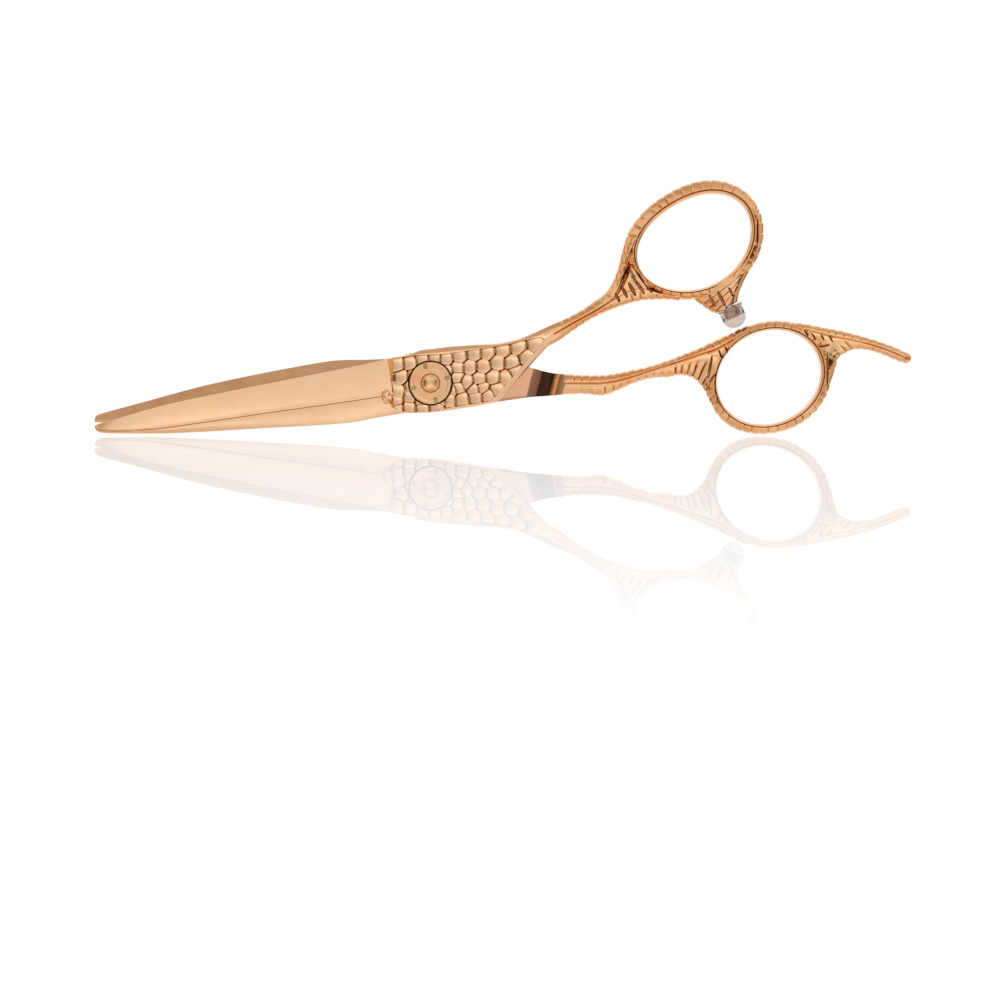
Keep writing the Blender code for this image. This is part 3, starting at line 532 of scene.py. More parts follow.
# Middles of the scales, row by row from the top
SCALES = [(-6.8, 3.8), (-4.2, 4.0), (-1.6, 4.8), (0.8, 5.1), (3.2, 4.9), (5.9, 5.4),
          (8.9, 6.0), (11.7, 6.2), (14.7, 6.7), (17.9, 7.3), (21.4, 7.9),
          (-5.9, 1.3), (-3.4, 1.6), (3.3, 2.5), (5.5, 3.2), (8.0, 3.3), (10.7, 3.4),
          (13.7, 4.3), (16.5, 4.3), (19.6, 5.3),
          (-6.6, -1.7), (-4.0, -0.6), (5.4, 1.2), (7.4, 0.2), (10.0, 0.8), (12.7, 1.1),
          (15.5, 1.0), (17.4, 2.2),
          (-4.1, -2.8), (4.4, -1.4), (5.6, -0.9), (8.9, -1.3), (10.6, -0.9), (13.5, -1.3),
          (-7.2, -3.8), (-2.0, -3.6), (2.2, -3.3), (3.8, -3.4), (6.4, -3.3), (9.2, -2.7),
          (11.8, -2.6),
          (-6.9, -5.2), (-4.4, -5.0), (-1.7, -5.0), (1.1, -4.8)]
SCALE_RADIUS = 1.45
SCALE_DOME = 0.23
SCALE_LIFT = 0.16
SCALE_CREASE = 0.24
PANEL_SUNK = 0.12              # the scales start this far below the block's face
PANEL_RISE = 0.12              # width of the step round the scaled panel
PANEL_STEPS = 116
BLOCK_STEPS = 380
POCKET_RADIUS = 4.62           # of the dial's pocket in front and the screw head's at the back
POCKET_FLOOR = 5.03
SCREW_BORE = 2.3
CLEAR_OF_FRONT = 9.0           # cutters run out to these heights, past either face
CLEAR_OF_BACK = -3.0

scale_tree = kdtree.KDTree(len(SCALES))
scale_chance = random.Random(11)
scale_leans = []
for number, (x, z) in enumerate(SCALES):
    scale_tree.insert((x, z, 0.0), number)
    scale_leans.append((scale_chance.uniform(-0.08, 0.08), scale_chance.uniform(-0.10, 0.07),
                        scale_chance.uniform(-0.05, 0.05)))
scale_tree.balance()


def scale_height(x, z):
    """Height of the scaled face against the block's face: pebbles with creases between."""
    nearest = scale_tree.find_n((x, z, 0.0), 3)
    (near, first, near_gap), (far, _, far_gap), (_, _, third_gap) = nearest
    if near_gap > 2.6:
        return -0.12
    border = (far_gap * far_gap - near_gap * near_gap) / (2 * (far - near).length)
    east, north = x - near.x, z - near.y
    lean_x, lean_z, level = scale_leans[first]
    dome = -SCALE_DOME * (near_gap / SCALE_RADIUS) ** 2
    lift = (SCALE_LIFT + lean_x) * east / SCALE_RADIUS
    lift += (lean_z - 0.05) * north / SCALE_RADIUS
    # Borders are shallow valleys; the ones right and low of a scale, and the corners, are deep
    across = (far - near).normalized()
    away = max(0.0, 0.86 * across.x - 0.50 * across.y)
    towards = max(0.0, 0.50 * across.y - 0.86 * across.x)
    corner = math.exp(-((third_gap - near_gap) / 0.34) ** 2)
    crease = 0.035 * math.exp(-(border / 0.22) ** 2)
    crease += SCALE_CREASE * max(away, 0.8 * towards) ** 2 * math.exp(-(border / 0.15) ** 2)
    crease += 0.22 * corner * math.exp(-(border / 0.18) ** 2)
    return level + dome + lift - crease


def block_row(x, inner, face, outwards, bottom, top, low, high, reshape):
    """One loop round a pivot block: inner face, side, border, scaled panel, border, side.

    The panel lies between low and high; reshape may move any point to another height.
    """
    row = [(bottom + (top - bottom) * (1 - k / 16), inner) for k in range(16)]
    row.append((bottom, inner + outwards * 0.06))
    row.append((bottom, inner + outwards * (abs(face - inner) - 1.05)))
    across = [(0.0, 0.9), (0.12, 0.55), (0.3, 0.3), (0.55, 0.12), (0.8, 0.03), (1.0, 0.0)]
    for share, drop in across:
        row.append((bottom + (low - bottom) * share, face - outwards * drop))
    for k in range(PANEL_STEPS + 1):
        t = k / PANEL_STEPS
        z = low + (high - low) * t
        step = min(1.0, min(t, 1 - t) * (high - low) / PANEL_RISE)
        row.append((z, face + outwards * (step * (scale_height(x, z) - PANEL_SUNK))))
    for share, drop in [(1.0, 0.0), (0.85, 0.04), (0.65, 0.16), (0.45, 0.36), (0.25, 0.62),
                        (0.1, 0.86), (0.0, 1.05)]:
        row.append((top + (high - top) * share, face - outwards * drop))
    row.append((top, inner + outwards * 0.06))
    return [spot(x, z, reshape(x, z, height)) for z, height in row]


def block_stations(start, end):
    """Places along a pivot block, close enough together for its scales."""
    return [start + (end - start) * k / BLOCK_STEPS for k in range(BLOCK_STEPS + 1)]


def step_wall(x, z, height):
    """The block's left end rises from the blade in one steep step."""
    return min(height, 3.9 + max(0.0, x + 8.9) * 2.35)


thumb_block = skin("thumb_block", [
    block_row(x, THUMB_INNER, FRONT_FACE, 1, eased(BLOCK_BOTTOM, x), eased(BLOCK_TOP, x),
              eased(PANEL_BOTTOM, x), eased(PANEL_TOP, x), step_wall)
    for x in block_stations(-8.9, 25.2)])


FORWARDS = Vector((0, -1, 0))
PIVOT = Vector((0, 0, 0))
WELD = 1e-7                    # metres: where a turned profile closes on itself


def turned(name, profile, centre, axis, facets=96):
    """A solid turned round an axis, from (radius, height) points along its outside."""
    points = []
    for r, h in profile:
        ring = 1 if r == 0 else facets
        for k in range(ring):
            a = 2 * math.pi * k / facets
            points.append(Vector((r * math.cos(a), r * math.sin(a), h)) * MM)
    starts = []
    place = 0
    for r, _ in profile:
        starts.append(place)
        place += 1 if r == 0 else facets
    faces = []
    for i in range(len(profile) - 1):
        for k in range(facets):
            j = (k + 1) % facets
            a = [starts[i]] if profile[i][0] == 0 else [starts[i] + k, starts[i] + j]
            b = [starts[i + 1]] if profile[i + 1][0] == 0 else [starts[i + 1] + j,
                                                                starts[i + 1] + k]
            faces.append(tuple(a + b))
    mesh = bpy.data.meshes.new(name)
    mesh.from_pydata(points, [], faces)
    mesh.transform(Matrix.Translation(centre) @ axis.to_track_quat("Z", "Y").to_matrix().to_4x4())
    work = bmesh.new()
    work.from_mesh(mesh)
    return as_piece(name, mesh, work, WELD)


def plug(name, radius, low, high):
    """A plain round cutter on the pivot, between two heights."""
    return turned(name, [(0, high), (radius, high), (radius, low), (0, low)], PIVOT, FORWARDS)


def pressed_ball(name, around, up, press):
    """A ball with every point moved to where the press function puts it."""
    mesh = bpy.data.meshes.new(name)
    work = bmesh.new()
    bmesh.ops.create_uvsphere(work, u_segments=around, v_segments=up, radius=1.0)
    for v in work.verts:
        v.co = press(v.co)
    return as_piece(name, mesh, work)


BUD_PLACE = (-8.9, -2.9)
BUD_HEIGHT = 6.4
BUD_SIZE = (1.15, 1.5, 0.8)
BUD_FOLDS = 5
BUD_TURN = 0.4


def fold_bud(ball):
    """The small folded knob where the blade's ridge ends at the block."""
    a = math.atan2(ball.y, ball.x)
    width, length, depth = BUD_SIZE
    pinch = 1 + 0.10 * math.cos(BUD_FOLDS * a + 2.5 * ball.z)
    across = Vector((ball.x * width * pinch, ball.y * length * pinch, 0))
    across.rotate(Matrix.Rotation(BUD_TURN, 3, "Z"))
    groove = 0.22 * math.cos(BUD_FOLDS * a + 2.5) * (1 - ball.z * ball.z)
    return spot(BUD_PLACE[0] + across.x, BUD_PLACE[1] + across.y,
                BUD_HEIGHT + depth * (ball.z + groove))


combine(thumb_blade, [thumb_block, pressed_ball("ridge_bud", 48, 28, fold_bud)])
combine(thumb_blade, [plug("dial_pocket", POCKET_RADIUS, POCKET_FLOOR, CLEAR_OF_FRONT),
                      plug("screw_bore", SCREW_BORE, THUMB_INNER - 0.8, CLEAR_OF_FRONT)],
        "DIFFERENCE")
dress(thumb_blade, buffed_gold, "thumb_half", "thumb_blade")
# Painted shade: the pockets round the dial and the screw head are near black, for the shadow in
# their gaps
pocket_shade_steel, shader, node, link = finish("pocket_painted_shade")
shader.inputs["Metallic"].default_value = 1.0
shader.inputs["Roughness"].default_value = 0.45
pocket_shade_tone = mingle(node, link, node("TexCoord"), {"in_Scale": 800.0, "in_Detail": 4.0},
                  ((0.02, 0.010, 0.006), (0.09, 0.045, 0.025)))[1]
link(pocket_shade_tone, shader.inputs["Base Color"])


def paint_pocket_shade(piece, low, high):
    """Paint the walls and floor of a piece's round pocket near black: painted shade in the pocket.
    """
    piece.data.materials.append(pocket_shade_steel)
    for face in piece.data.polygons:
        reach = math.hypot(face.center.x, face.center.z)
        if reach < (POCKET_RADIUS - 0.0005) * MM and low * MM < -face.center.y < high * MM:
            face.material_index = 1


paint_pocket_shade(thumb_blade, THUMB_INNER + 0.05, CLEAR_OF_FRONT)


# ---------------------------------------------------------------- finger blade
# The rear blade, the mirror of the front one in kind.  Its hollow inner face shows above the
# front blade, cross-ground in fine lines; its ride plate is flat and scoops up to the shank.

FINGER_EDGE = [(-69.2, -7.9), (-68.8, -8.1), (-55.4, -8.7), (-34.6, -7.8), (-13.8, -6.75),
               (-6.2, -6.1)]
FINGER_RIDGE = [(-69.2, -7.6), (-68.8, -7.3), (-67.0, -6.9), (-59.5, -4.6), (-47.1, -2.7),
                (-34.6, -1.4), (-6.2, 0.7)]
FINGER_SPINE = [(-69.2, -7.4), (-69.0, -6.95), (-68.5, -6.55), (-67.5, -6.2), (-59.7, -4.1),
                (-47.1, -0.7), (-34.5, 2.0), (-21.9, 4.3), (-17.7, 4.7), (-13.5, 4.75),
                (-8.7, 5.0), (-6.0, 5.5)]
finger_blade = skin("finger_blade_forged", [
    blade_row(x, eased(FINGER_EDGE, x), eased(FINGER_RIDGE, x), eased(FINGER_SPINE, x),
              FINGER_INNER, -1)
    for x in blade_stations(-69.2, ROOT)])

BACK_FACE = 0.1
RIDE_TOP = [(-8.8, 5.0), (-6.0, 5.5), (-3.9, 6.15), (1.0, 6.5), (9.0, 6.2), (15.0, 5.0),
            (19.9, 3.35), (24.2, 2.15), (27.6, 1.7)]
RIDE_BOTTOM = [(-8.8, -4.9), (-5.0, -6.0), (0.5, -5.8), (7.1, -4.9), (13.7, -3.9),
               (20.2, -2.95), (23.4, -2.7), (27.6, -2.3)]
SCOOP = [(-9.0, 3.5), (19.8, 3.5), (20.6, 3.52), (21.4, 3.58), (22.2, 3.69), (23.0, 3.85),
         (23.8, 4.08), (24.6, 4.38), (25.4, 4.82), (26.1, 5.3), (27.6, 6.0)]
SCOOP_SLANT = 0.26


def scoop(x, z, height):
    """The ride plate's front is hollowed up towards the shank, its back starts in a step."""
    if height < FINGER_INNER - 0.5 and x < -7.4:
        return max(height, FINGER_INNER - 0.5 - (x + 8.8) * 2.35)
    if height > FINGER_INNER - 0.3 and x > 18:
        return height + eased(SCOOP, x - SCOOP_SLANT * z) - FINGER_INNER
    return height


finger_block = skin("finger_block", [
    block_row(x, FINGER_INNER, BACK_FACE, -1, eased(RIDE_BOTTOM, x), eased(RIDE_TOP, x),
              eased(RIDE_BOTTOM, x) + 0.35, eased(RIDE_TOP, x) - 0.8, scoop)
    for x in block_stations(-8.8, 27.4)])
HEAD_FLOOR = 2.26
BUSH_BORE = 2.64
WASHER_SEAT = 4.97
WASHER_FLOOR = 3.2
CLEAR_OF_INNER = 5.0
combine(finger_blade, [finger_block])
combine(finger_blade, [plug("head_pocket", POCKET_RADIUS, CLEAR_OF_BACK, HEAD_FLOOR),
                       plug("bush_bore", BUSH_BORE, CLEAR_OF_BACK, CLEAR_OF_INNER),
                       plug("washer_seat", WASHER_SEAT, WASHER_FLOOR, CLEAR_OF_INNER)],
        "DIFFERENCE")
dress(finger_blade, ground_gold, "finger_half", "finger_blade")
paint_pocket_shade(finger_blade, 0.25, FINGER_INNER - 0.05)
# The scaled back is polished, unlike the ground inner face, and the scoop carries brown and dark
# bands of painted reflection, laid along it by place
finger_blade.data.materials.append(buffed_gold)
# Painted reflection: the scoop's bands stand in for the tent's dark bands mirrored on it
scoop_reflection_paint, shader, node, link = finish("scoop_painted_reflections")
shader.inputs["Metallic"].default_value = 1.0
place = node("TexCoord")
along = node("VectorMath", operation="DOT_PRODUCT")
link(place.outputs["Object"], along.inputs[0])
along.inputs[1].default_value = (1000.0, 0.0, -1000.0 * SCOOP_SLANT)
shimmer = node("TexNoise", in_Scale=500.0, in_Detail=4.0)
link(place.outputs["Object"], shimmer.inputs["Vector"])
ragged = rescale(node, link, shimmer.outputs["Fac"], in_To_Min=-0.35, in_To_Max=0.35)
shift = node("Math", operation="ADD")
link(along.outputs["Value"], shift.inputs[0])
link(ragged, shift.inputs[1])
across = rescale(node, link, shift.outputs["Value"], in_From_Min=18.0, in_From_Max=28.0)
bands = node("ValToRGB")
ramp_stops(bands, [(0.0, (0.84, 0.49, 0.30)), (0.22, (0.88, 0.51, 0.31)),
                   (0.25, (0.34, 0.16, 0.10)), (0.41, (0.26, 0.12, 0.075)),
                   (0.44, (0.055, 0.025, 0.016)), (0.66, (0.075, 0.033, 0.018)),
                   (0.70, (0.48, 0.20, 0.07)), (0.80, GOLD_RICH), (1.0, GOLD)])
link(across, bands.inputs["Fac"])
link(bands.outputs["Color"], shader.inputs["Base Color"])
shader.inputs["Roughness"].default_value = 0.2
finger_blade.data.materials.append(scoop_reflection_paint)
BANDS_START = 8                 # the painted reflection bands begin where the front blade's block covers the plate
for face in finger_blade.data.polygons:
    if face.material_index == 0 and face.normal.y > 0.15:
        face.material_index = 2
    if face.center.x > BANDS_START * MM and -face.center.y > (FINGER_INNER - 0.02) * MM:
        face.material_index = 3


# ---------------------------------------------------------------- thumb handle
# Cast in steel and polished, then welded to the block.  Two barked strands lie side by side along
# the shank, part round a web with leaf-shaped hollows and join in the band of the thumb ring.

MIDDLE = 3.65
RING_HALF = 2.4
STRAND_STEP = 0.12
# Across a strand from its inner line to its outer one: (share of the width, share of the depth)
SHANK_PROFILE = [(0.0, 0.74), (0.04, 0.85), (0.10, 0.92), (0.19, 0.98), (0.28, 1.0),
                 (0.35, 0.98), (0.44, 0.93), (0.54, 0.87), (0.64, 0.80), (0.74, 0.72),
                 (0.83, 0.63), (0.91, 0.51), (0.97, 0.36), (1.0, 0.18)]
RING_PROFILE = [(0.0, 0.42), (0.03, 0.62), (0.08, 0.78), (0.14, 0.87), (0.20, 0.88),
                (0.24, 0.80), (0.28, 0.86), (0.32, 0.98), (0.38, 1.0), (0.44, 0.96),
                (0.53, 0.90), (0.63, 0.82), (0.73, 0.74), (0.83, 0.64), (0.91, 0.51),
                (0.97, 0.36), (1.0, 0.18)]
SMOOTH_PROFILE = [(0.0, 0.0), (0.03, 0.30), (0.08, 0.52), (0.15, 0.72), (0.25, 0.88),
                  (0.36, 0.97), (0.5, 1.0), (0.64, 0.97), (0.75, 0.88), (0.85, 0.72),
                  (0.92, 0.52), (0.97, 0.30), (1.0, 0.0)]


def smooth_line(knots, steps, closed=False):
    """Points on a Catmull-Rom curve through knots of any dimension."""
    if closed:
        ends = [knots[-1], *knots, knots[0], knots[1]]
    else:
        ends = [2 * knots[0] - knots[1], *knots, 2 * knots[-1] - knots[-2]]
    line = []
    for a, b, c, d in zip(ends, ends[1:], ends[2:], ends[3:]):
        for k in range(steps):
            t = k / steps
            line.append(0.5 * (2 * b + (c - a) * t + (2 * a - 5 * b + 4 * c - d) * t * t
                               + (3 * b - a - 3 * c + d) * t * t * t))
    if not closed:
        line.append(knots[-1])
    return line


def evenly(line, step, closed=False):
    """The same curve with its stations a step apart along its middle."""
    if closed:
        line = line + [line[0]]
    runs = [0.0]
    for near, far in zip(line, line[1:]):
        gap = Vector((far[0] + far[2] - near[0] - near[2], far[1] + far[3] - near[1] - near[3]))
        runs.append(runs[-1] + gap.length / 2)
    count = max(8, int(runs[-1] / step))
    even = []
    i = 0
    for k in range(count if closed else count + 1):
        goal = runs[-1] * k / count
        while i < len(runs) - 2 and runs[i + 1] < goal:
            i += 1
        share = (goal - runs[i]) / max(runs[i + 1] - runs[i], 1e-9)
        even.append(line[i].lerp(line[i + 1], min(share, 1.0)))
    return even, runs[-1]


def ease(value):
    value = min(1.0, max(0.0, value))
    return value * value * (3 - 2 * value)


def strand(name, knots, profile, seed, notch=0.22, lump=0.10, pitch=(1.5, 2.2), start=0.0,
           plain=0.0, closed=False):
    """A bar between an inner and an outer line, with notches across its outer facet.

    Each knot is (inner x, inner z, outer x, outer z, middle height, half depth) in mm.
    """
    line = smooth_line([Vector(knot) for knot in knots], 14, closed)
    stations, length = evenly(line, STRAND_STEP, closed)
    chance = random.Random(seed)
    cuts = []
    place = start
    while place < length - 0.4:
        cuts.append((place, chance.choice((0.30, 0.30, 0.62)), chance.uniform(0.7, 1.2)))
        place += chance.uniform(*pitch)
    rows = []
    for number, (xi, zi, xo, zo, middle, half) in enumerate(stations):
        here = length * number / (len(stations) if closed else len(stations) - 1)
        passed = [cut for cut in cuts if cut[0] <= here] or [cuts[0]]
        coming = [cut for cut in cuts if cut[0] > here] or [(length, 0.3, 1.0)]
        span = max(coming[0][0] - passed[-1][0], 0.5)
        saw = min(1.0, max(0.0, (here - passed[-1][0]) / span))
        width = math.hypot(xo - xi, zo - zi)
        out = Vector((xo - xi, zo - zi)) / max(width, 1e-6)
        barked = ease((here - plain) / 2.5) if plain else 1.0
        front, back = [], []
        for share, rise in profile:
            dent = 0.0
            for at, reach, force in (passed[-1], coming[0]):
                sharp = math.exp(-((here - at) / 0.15) ** 2) * force
                dent = max(dent, sharp * ease((share - reach) / 0.1))
                if reach < 0.5:
                    dent = max(dent, 0.7 * sharp * math.exp(-((share - 0.36) / 0.07) ** 2))
            dent *= barked
            bulge = barked * lump * (saw ** 1.4 - 0.45) * ease((share - 0.55) / 0.45)
            bulge -= dent * notch * 0.7 * ease((share - 0.7) / 0.3)
            off = share * width + bulge
            level = half * rise - dent * notch * (1.0 if rise > 0.2 else 0.3)
            level += 0.05 * barked * saw * ease((share - 0.4) / 0.4) * half
            x, z = xi + out.x * off, zi + out.y * off
            front.append(spot(x, z, middle + level))
            back.append(spot(x, z, middle - level))
        if profile[0][1] == 0.0:
            back = back[1:-1]
        rows.append(front + list(reversed(back)))
    return skin(name, rows, closed)


def oval_spot(centre, hole, tilt, turn, out):
    """A place (x, z) at a turn round an oval hole, moved out along the oval's normal."""
    normal = Vector((math.cos(turn) / hole[0], math.sin(turn) / hole[1])).normalized()
    point = Vector((hole[0] * math.cos(turn), hole[1] * math.sin(turn))) + normal * out
    return Vector(centre) + Matrix.Rotation(tilt, 2) @ point


def ring_knots(centre, hole, tilt, widths, wander=0.0):
    """Knots of the band round an oval hole; widths are (turn in degrees, width)."""
    knots = []
    for k in range(48):
        degrees = 360 * k / 48
        turn = math.radians(degrees)
        swell = wander * math.cos(3 * (turn - math.radians(35)))
        near = oval_spot(centre, hole, tilt, turn, swell)
        far = oval_spot(centre, hole, tilt, turn, swell + eased(widths, degrees))
        knots.append((near.x, near.y, far.x, far.y, MIDDLE, RING_HALF))
    return knots


THUMB_RING = ((54.19, 28.65), (12.29, 8.97), math.radians(29))
thumb_ring = strand("thumb_ring", ring_knots(*THUMB_RING, [
    (0, 2.5), (30, 2.6), (60, 2.85), (90, 2.85), (120, 2.9), (150, 2.85), (175, 1.7), (200, 1.5),
    (235, 1.9), (255, 1.9), (280, 2.3), (305, 2.7), (330, 2.7), (360, 2.5)], 0.25),
    RING_PROFILE, 5, pitch=(1.7, 2.3), closed=True)
thumb_upper = strand("thumb_upper_strand", [
    (22.6, 9.0, 22.2, 10.5, 5.5, 1.5), (25.5, 10.2, 25.2, 12.1, 5.45, 1.65),
    (28.6, 11.95, 28.0, 13.4, 4.9, 2.0), (31.8, 13.7, 30.9, 14.95, 4.2, 2.3),
    (34.8, 15.4, 33.0, 16.4, 3.8, 2.4), (37.3, 17.1, 35.6, 18.3, MIDDLE, 2.4),
    (38.5, 18.7, 37.0, 20.2, MIDDLE, 2.4), (39.3, 20.6, 37.9, 22.2, MIDDLE, 2.4),
    (39.9, 22.6, 38.5, 24.0, MIDDLE, 2.4), (40.5, 24.9, 38.95, 26.0, MIDDLE, 2.4),
    (41.4, 27.2, 39.5, 28.0, MIDDLE, 2.35), (42.4, 29.4, 40.4, 30.2, MIDDLE, 2.3)],
    SHANK_PROFILE, 21, notch=0.2, lump=0.06, start=5.0, plain=3.0)
thumb_lower = strand("thumb_lower_strand", [
    (22.6, 8.9, 23.4, 7.1, 5.5, 1.5), (25.5, 10.2, 26.4, 8.75, 5.45, 1.65),
    (28.6, 11.95, 29.3, 10.75, 4.9, 2.0), (31.8, 13.7, 32.5, 12.75, 4.2, 2.3),
    (34.8, 15.4, 35.3, 14.2, 3.8, 2.4), (37.3, 17.1, 37.9, 15.3, MIDDLE, 2.4),
    (39.8, 18.6, 40.5, 16.2, MIDDLE, 2.35), (42.6, 19.5, 42.9, 16.8, MIDDLE, 2.25),
    (45.6, 18.9, 45.5, 17.0, MIDDLE, 2.2), (48.2, 18.2, 48.1, 17.05, MIDDLE, 2.1),
    (51.0, 17.9, 51.0, 16.85, MIDDLE, 1.9)],
    SHANK_PROFILE, 22, notch=0.2, lump=0.11, pitch=(1.4, 1.8), start=3.0, plain=3.4)
thumb_web = strand("thumb_web", [
    (37.6, 18.2, 38.4, 15.9, MIDDLE, 2.1), (38.9, 20.6, 41.3, 16.9, MIDDLE, 2.05),
    (39.6, 22.8, 44.0, 17.3, MIDDLE, 2.0), (40.2, 25.0, 46.0, 18.2, MIDDLE, 1.95),
    (41.0, 27.2, 45.4, 20.4, MIDDLE, 1.9)],
    SMOOTH_PROFILE[1:-1], 3, notch=0.0, lump=0.0)
# The boss that carries the bumper, flared out of the ring
BOSS_FACE = Vector((61.18, 15.83))
BUMPER_AXIS = Vector((0.41, -0.912)).normalized()
boss_side = Vector((-BUMPER_AXIS.y, BUMPER_AXIS.x)) * 2.05
boss_left, boss_right = BOSS_FACE - boss_side, BOSS_FACE + boss_side
bumper_boss = strand("bumper_boss", [
    (67.6, 26.6, 52.6, 17.9, MIDDLE, 2.2), (66.2, 24.4, 55.0, 16.4, MIDDLE, 2.25),
    (64.9, 22.0, 56.9, 15.0, MIDDLE, 2.3), (63.9, 19.9, 58.2, 14.3, MIDDLE, 2.3),
    (63.3, 18.2, 59.0, 14.3, MIDDLE, 2.2),
    (boss_right.x, boss_right.y, boss_left.x, boss_left.y, MIDDLE, 2.0)],
    SMOOTH_PROFILE, 4, notch=0.3, lump=0.16, pitch=(1.2, 1.6), start=1.0)


LEAF_DEPTH = 0.9


def press_leaves(piece, folds):
    """Press leaf-shaped hollows, each (x, z, length, width, lean), into both of a piece's faces."""
    cutters = []
    for number, (x, z, length, width, lean) in enumerate(folds):
        turn = Matrix.Rotation(math.radians(lean), 3, "Z")
        for front in (-1, 1):

            def leaf(ball):
                across = turn @ Vector((ball.x * length / 2, ball.y * width / 2, 0))
                middle = MIDDLE + front * RING_HALF - front * 0.25
                return spot(x + across.x, z + across.y, middle + ball.z * LEAF_DEPTH)

            cutters.append(pressed_ball(f"leaf_{number}_{front}", 24, 16, leaf))
    combine(piece, cutters, "DIFFERENCE")


def paint_leaf_shade(piece, folds):
    """Paint shade on the hollows' own faces: near black in narrow folds and at the rims, deep
    copper in the middles of wide leaves.
    """
    piece.data.materials.append(leaf_shade_dark)
    piece.data.materials.append(leaf_shade_copper)
    for face in piece.data.polygons:
        for x, z, length, width, lean in folds:
            turn = Matrix.Rotation(-math.radians(lean), 2)
            here = turn @ Vector((face.center.x / MM - x, face.center.z / MM - z))
            inside = (2 * here.x / length) ** 2 + (2 * here.y / width) ** 2
            if inside < 0.72 and abs(-face.center.y / MM - MIDDLE) < RING_HALF - 0.3:
                face.material_index = 1 if width < 0.5 or inside > 0.5 else 2


def ring_opening(name, centre, hole, tilt, out):
    """An oval cutter as wide as a ring's hole and a little more."""
    rows = []
    for height in (-2.0, 9.0):
        rows.append([spot(*oval_spot(centre, hole, tilt, 2 * math.pi * k / 96, out), height)
                     for k in range(96)])
    return skin(name, rows)


for number, piece in enumerate((thumb_web, bumper_boss, thumb_lower)):
    combine(piece, [ring_opening(f"thumb_opening_{number}", *THUMB_RING, 0.7)], "DIFFERENCE")
# Leaves pressed into the web and the boss, then the narrow folds round them
THUMB_LEAVES = [(38.2, 17.5, 2.2, 0.7, -63), (39.6, 18.7, 3.0, 0.75, -64),
                (41.2, 19.2, 3.4, 0.8, -62), (41.3, 22.0, 5.0, 0.8, -66),
                (42.9, 19.5, 3.2, 0.75, -58), (44.6, 19.3, 2.4, 0.6, -50),
                (57.6, 16.8, 3.2, 0.7, -63), (59.5, 17.2, 3.6, 0.7, -63),
                (61.4, 18.6, 2.2, 0.6, -63), (39.5, 22.0, 4.4, 0.42, 68),
                (42.9, 21.5, 4.2, 0.42, -56), (45.7, 18.95, 3.4, 0.42, -24),
                (66.8, 30.8, 5.8, 0.4, 90)]
thumb_handle = combine(thumb_ring, [thumb_upper, thumb_lower, thumb_web, bumper_boss])
thumb_handle.name = "thumb_handle_cast"
press_leaves(thumb_handle, THUMB_LEAVES)
boss_place = spot(BOSS_FACE.x, BOSS_FACE.y, MIDDLE)
boss_axis = Vector((BUMPER_AXIS.x, 0, BUMPER_AXIS.y))
combine(thumb_handle, [turned("stud_hole", [(0, 1.0), (1.25, 1.0), (1.25, -2.85), (0, -2.85)],
                              boss_place, boss_axis)], "DIFFERENCE")
dress(thumb_handle, cast_gold, "thumb_half", "thumb_handle")
paint_leaf_shade(thumb_handle, THUMB_LEAVES)


# ---------------------------------------------------------------- finger handle
# The rear half's casting: two strands again, a fan of folds where the lower one meets the ring,
# and a tang for the little finger that ends in a dimpled knob.

FINGER_RING = ((69.39, 1.16), (10.9, 9.39), math.radians(24.9))
finger_ring = strand("finger_ring", ring_knots(*FINGER_RING, [
    (0, 2.6), (25, 2.3), (50, 2.0), (70, 1.9), (95, 1.9), (120, 1.7), (150, 1.7), (180, 2.1),
    (205, 2.3), (230, 2.1), (250, 2.0), (290, 2.25), (320, 2.3), (340, 2.4), (360, 2.6)]),
    RING_PROFILE, 8, notch=0.26, lump=0.12, pitch=(1.5, 2.1), closed=True)
finger_upper = strand("finger_upper_strand", [
    (24.6, -0.2, 24.6, 2.1, 2.2, 1.9), (26.3, -0.2, 26.3, 1.9, 3.3, 2.05),
    (28.6, -0.1, 28.8, 1.75, 3.6, 2.05),
    (31.8, -0.1, 31.9, 1.6, 3.65, 2.15), (34.8, -0.05, 34.8, 1.6, MIDDLE, 2.3),
    (38.0, 0.4, 37.6, 1.9, MIDDLE, 2.4), (41.4, 1.3, 41.0, 2.6, MIDDLE, 2.4),
    (45.0, 2.5, 44.6, 3.4, MIDDLE, 2.4), (49.0, 3.8, 48.4, 4.6, MIDDLE, 2.4),
    (52.4, 4.9, 51.7, 5.9, MIDDLE, 2.4), (55.6, 6.0, 54.8, 7.1, MIDDLE, 2.4),
    (58.6, 7.0, 57.8, 8.5, MIDDLE, 2.4), (61.6, 8.7, 61.0, 9.95, MIDDLE, 2.35),
    (64.6, 10.3, 64.2, 11.45, MIDDLE, 2.2), (67.4, 11.2, 67.3, 12.25, MIDDLE, 2.0)],
    SHANK_PROFILE, 31, notch=0.24, lump=0.14, pitch=(1.4, 1.9), start=3.0, plain=2.0)
finger_lower = strand("finger_lower_strand", [
    (24.6, -0.1, 24.6, -2.5, 2.2, 1.9), (26.3, -0.1, 26.3, -2.4, 3.3, 2.05),
    (28.6, 0.0, 28.8, -2.3, 3.6, 2.05),
    (31.8, 0.0, 32.0, -2.3, 3.65, 2.15), (34.8, 0.05, 35.2, -2.6, MIDDLE, 2.3),
    (38.0, 0.5, 38.3, -1.6, MIDDLE, 2.4), (41.4, 1.4, 41.6, -0.15, MIDDLE, 2.4),
    (45.0, 2.6, 45.3, 0.9, MIDDLE, 2.4), (49.0, 3.9, 49.0, 1.2, MIDDLE, 2.35)],
    SHANK_PROFILE, 32, notch=0.22, lump=0.10, pitch=(1.5, 2.1), start=6.0, plain=5.0)
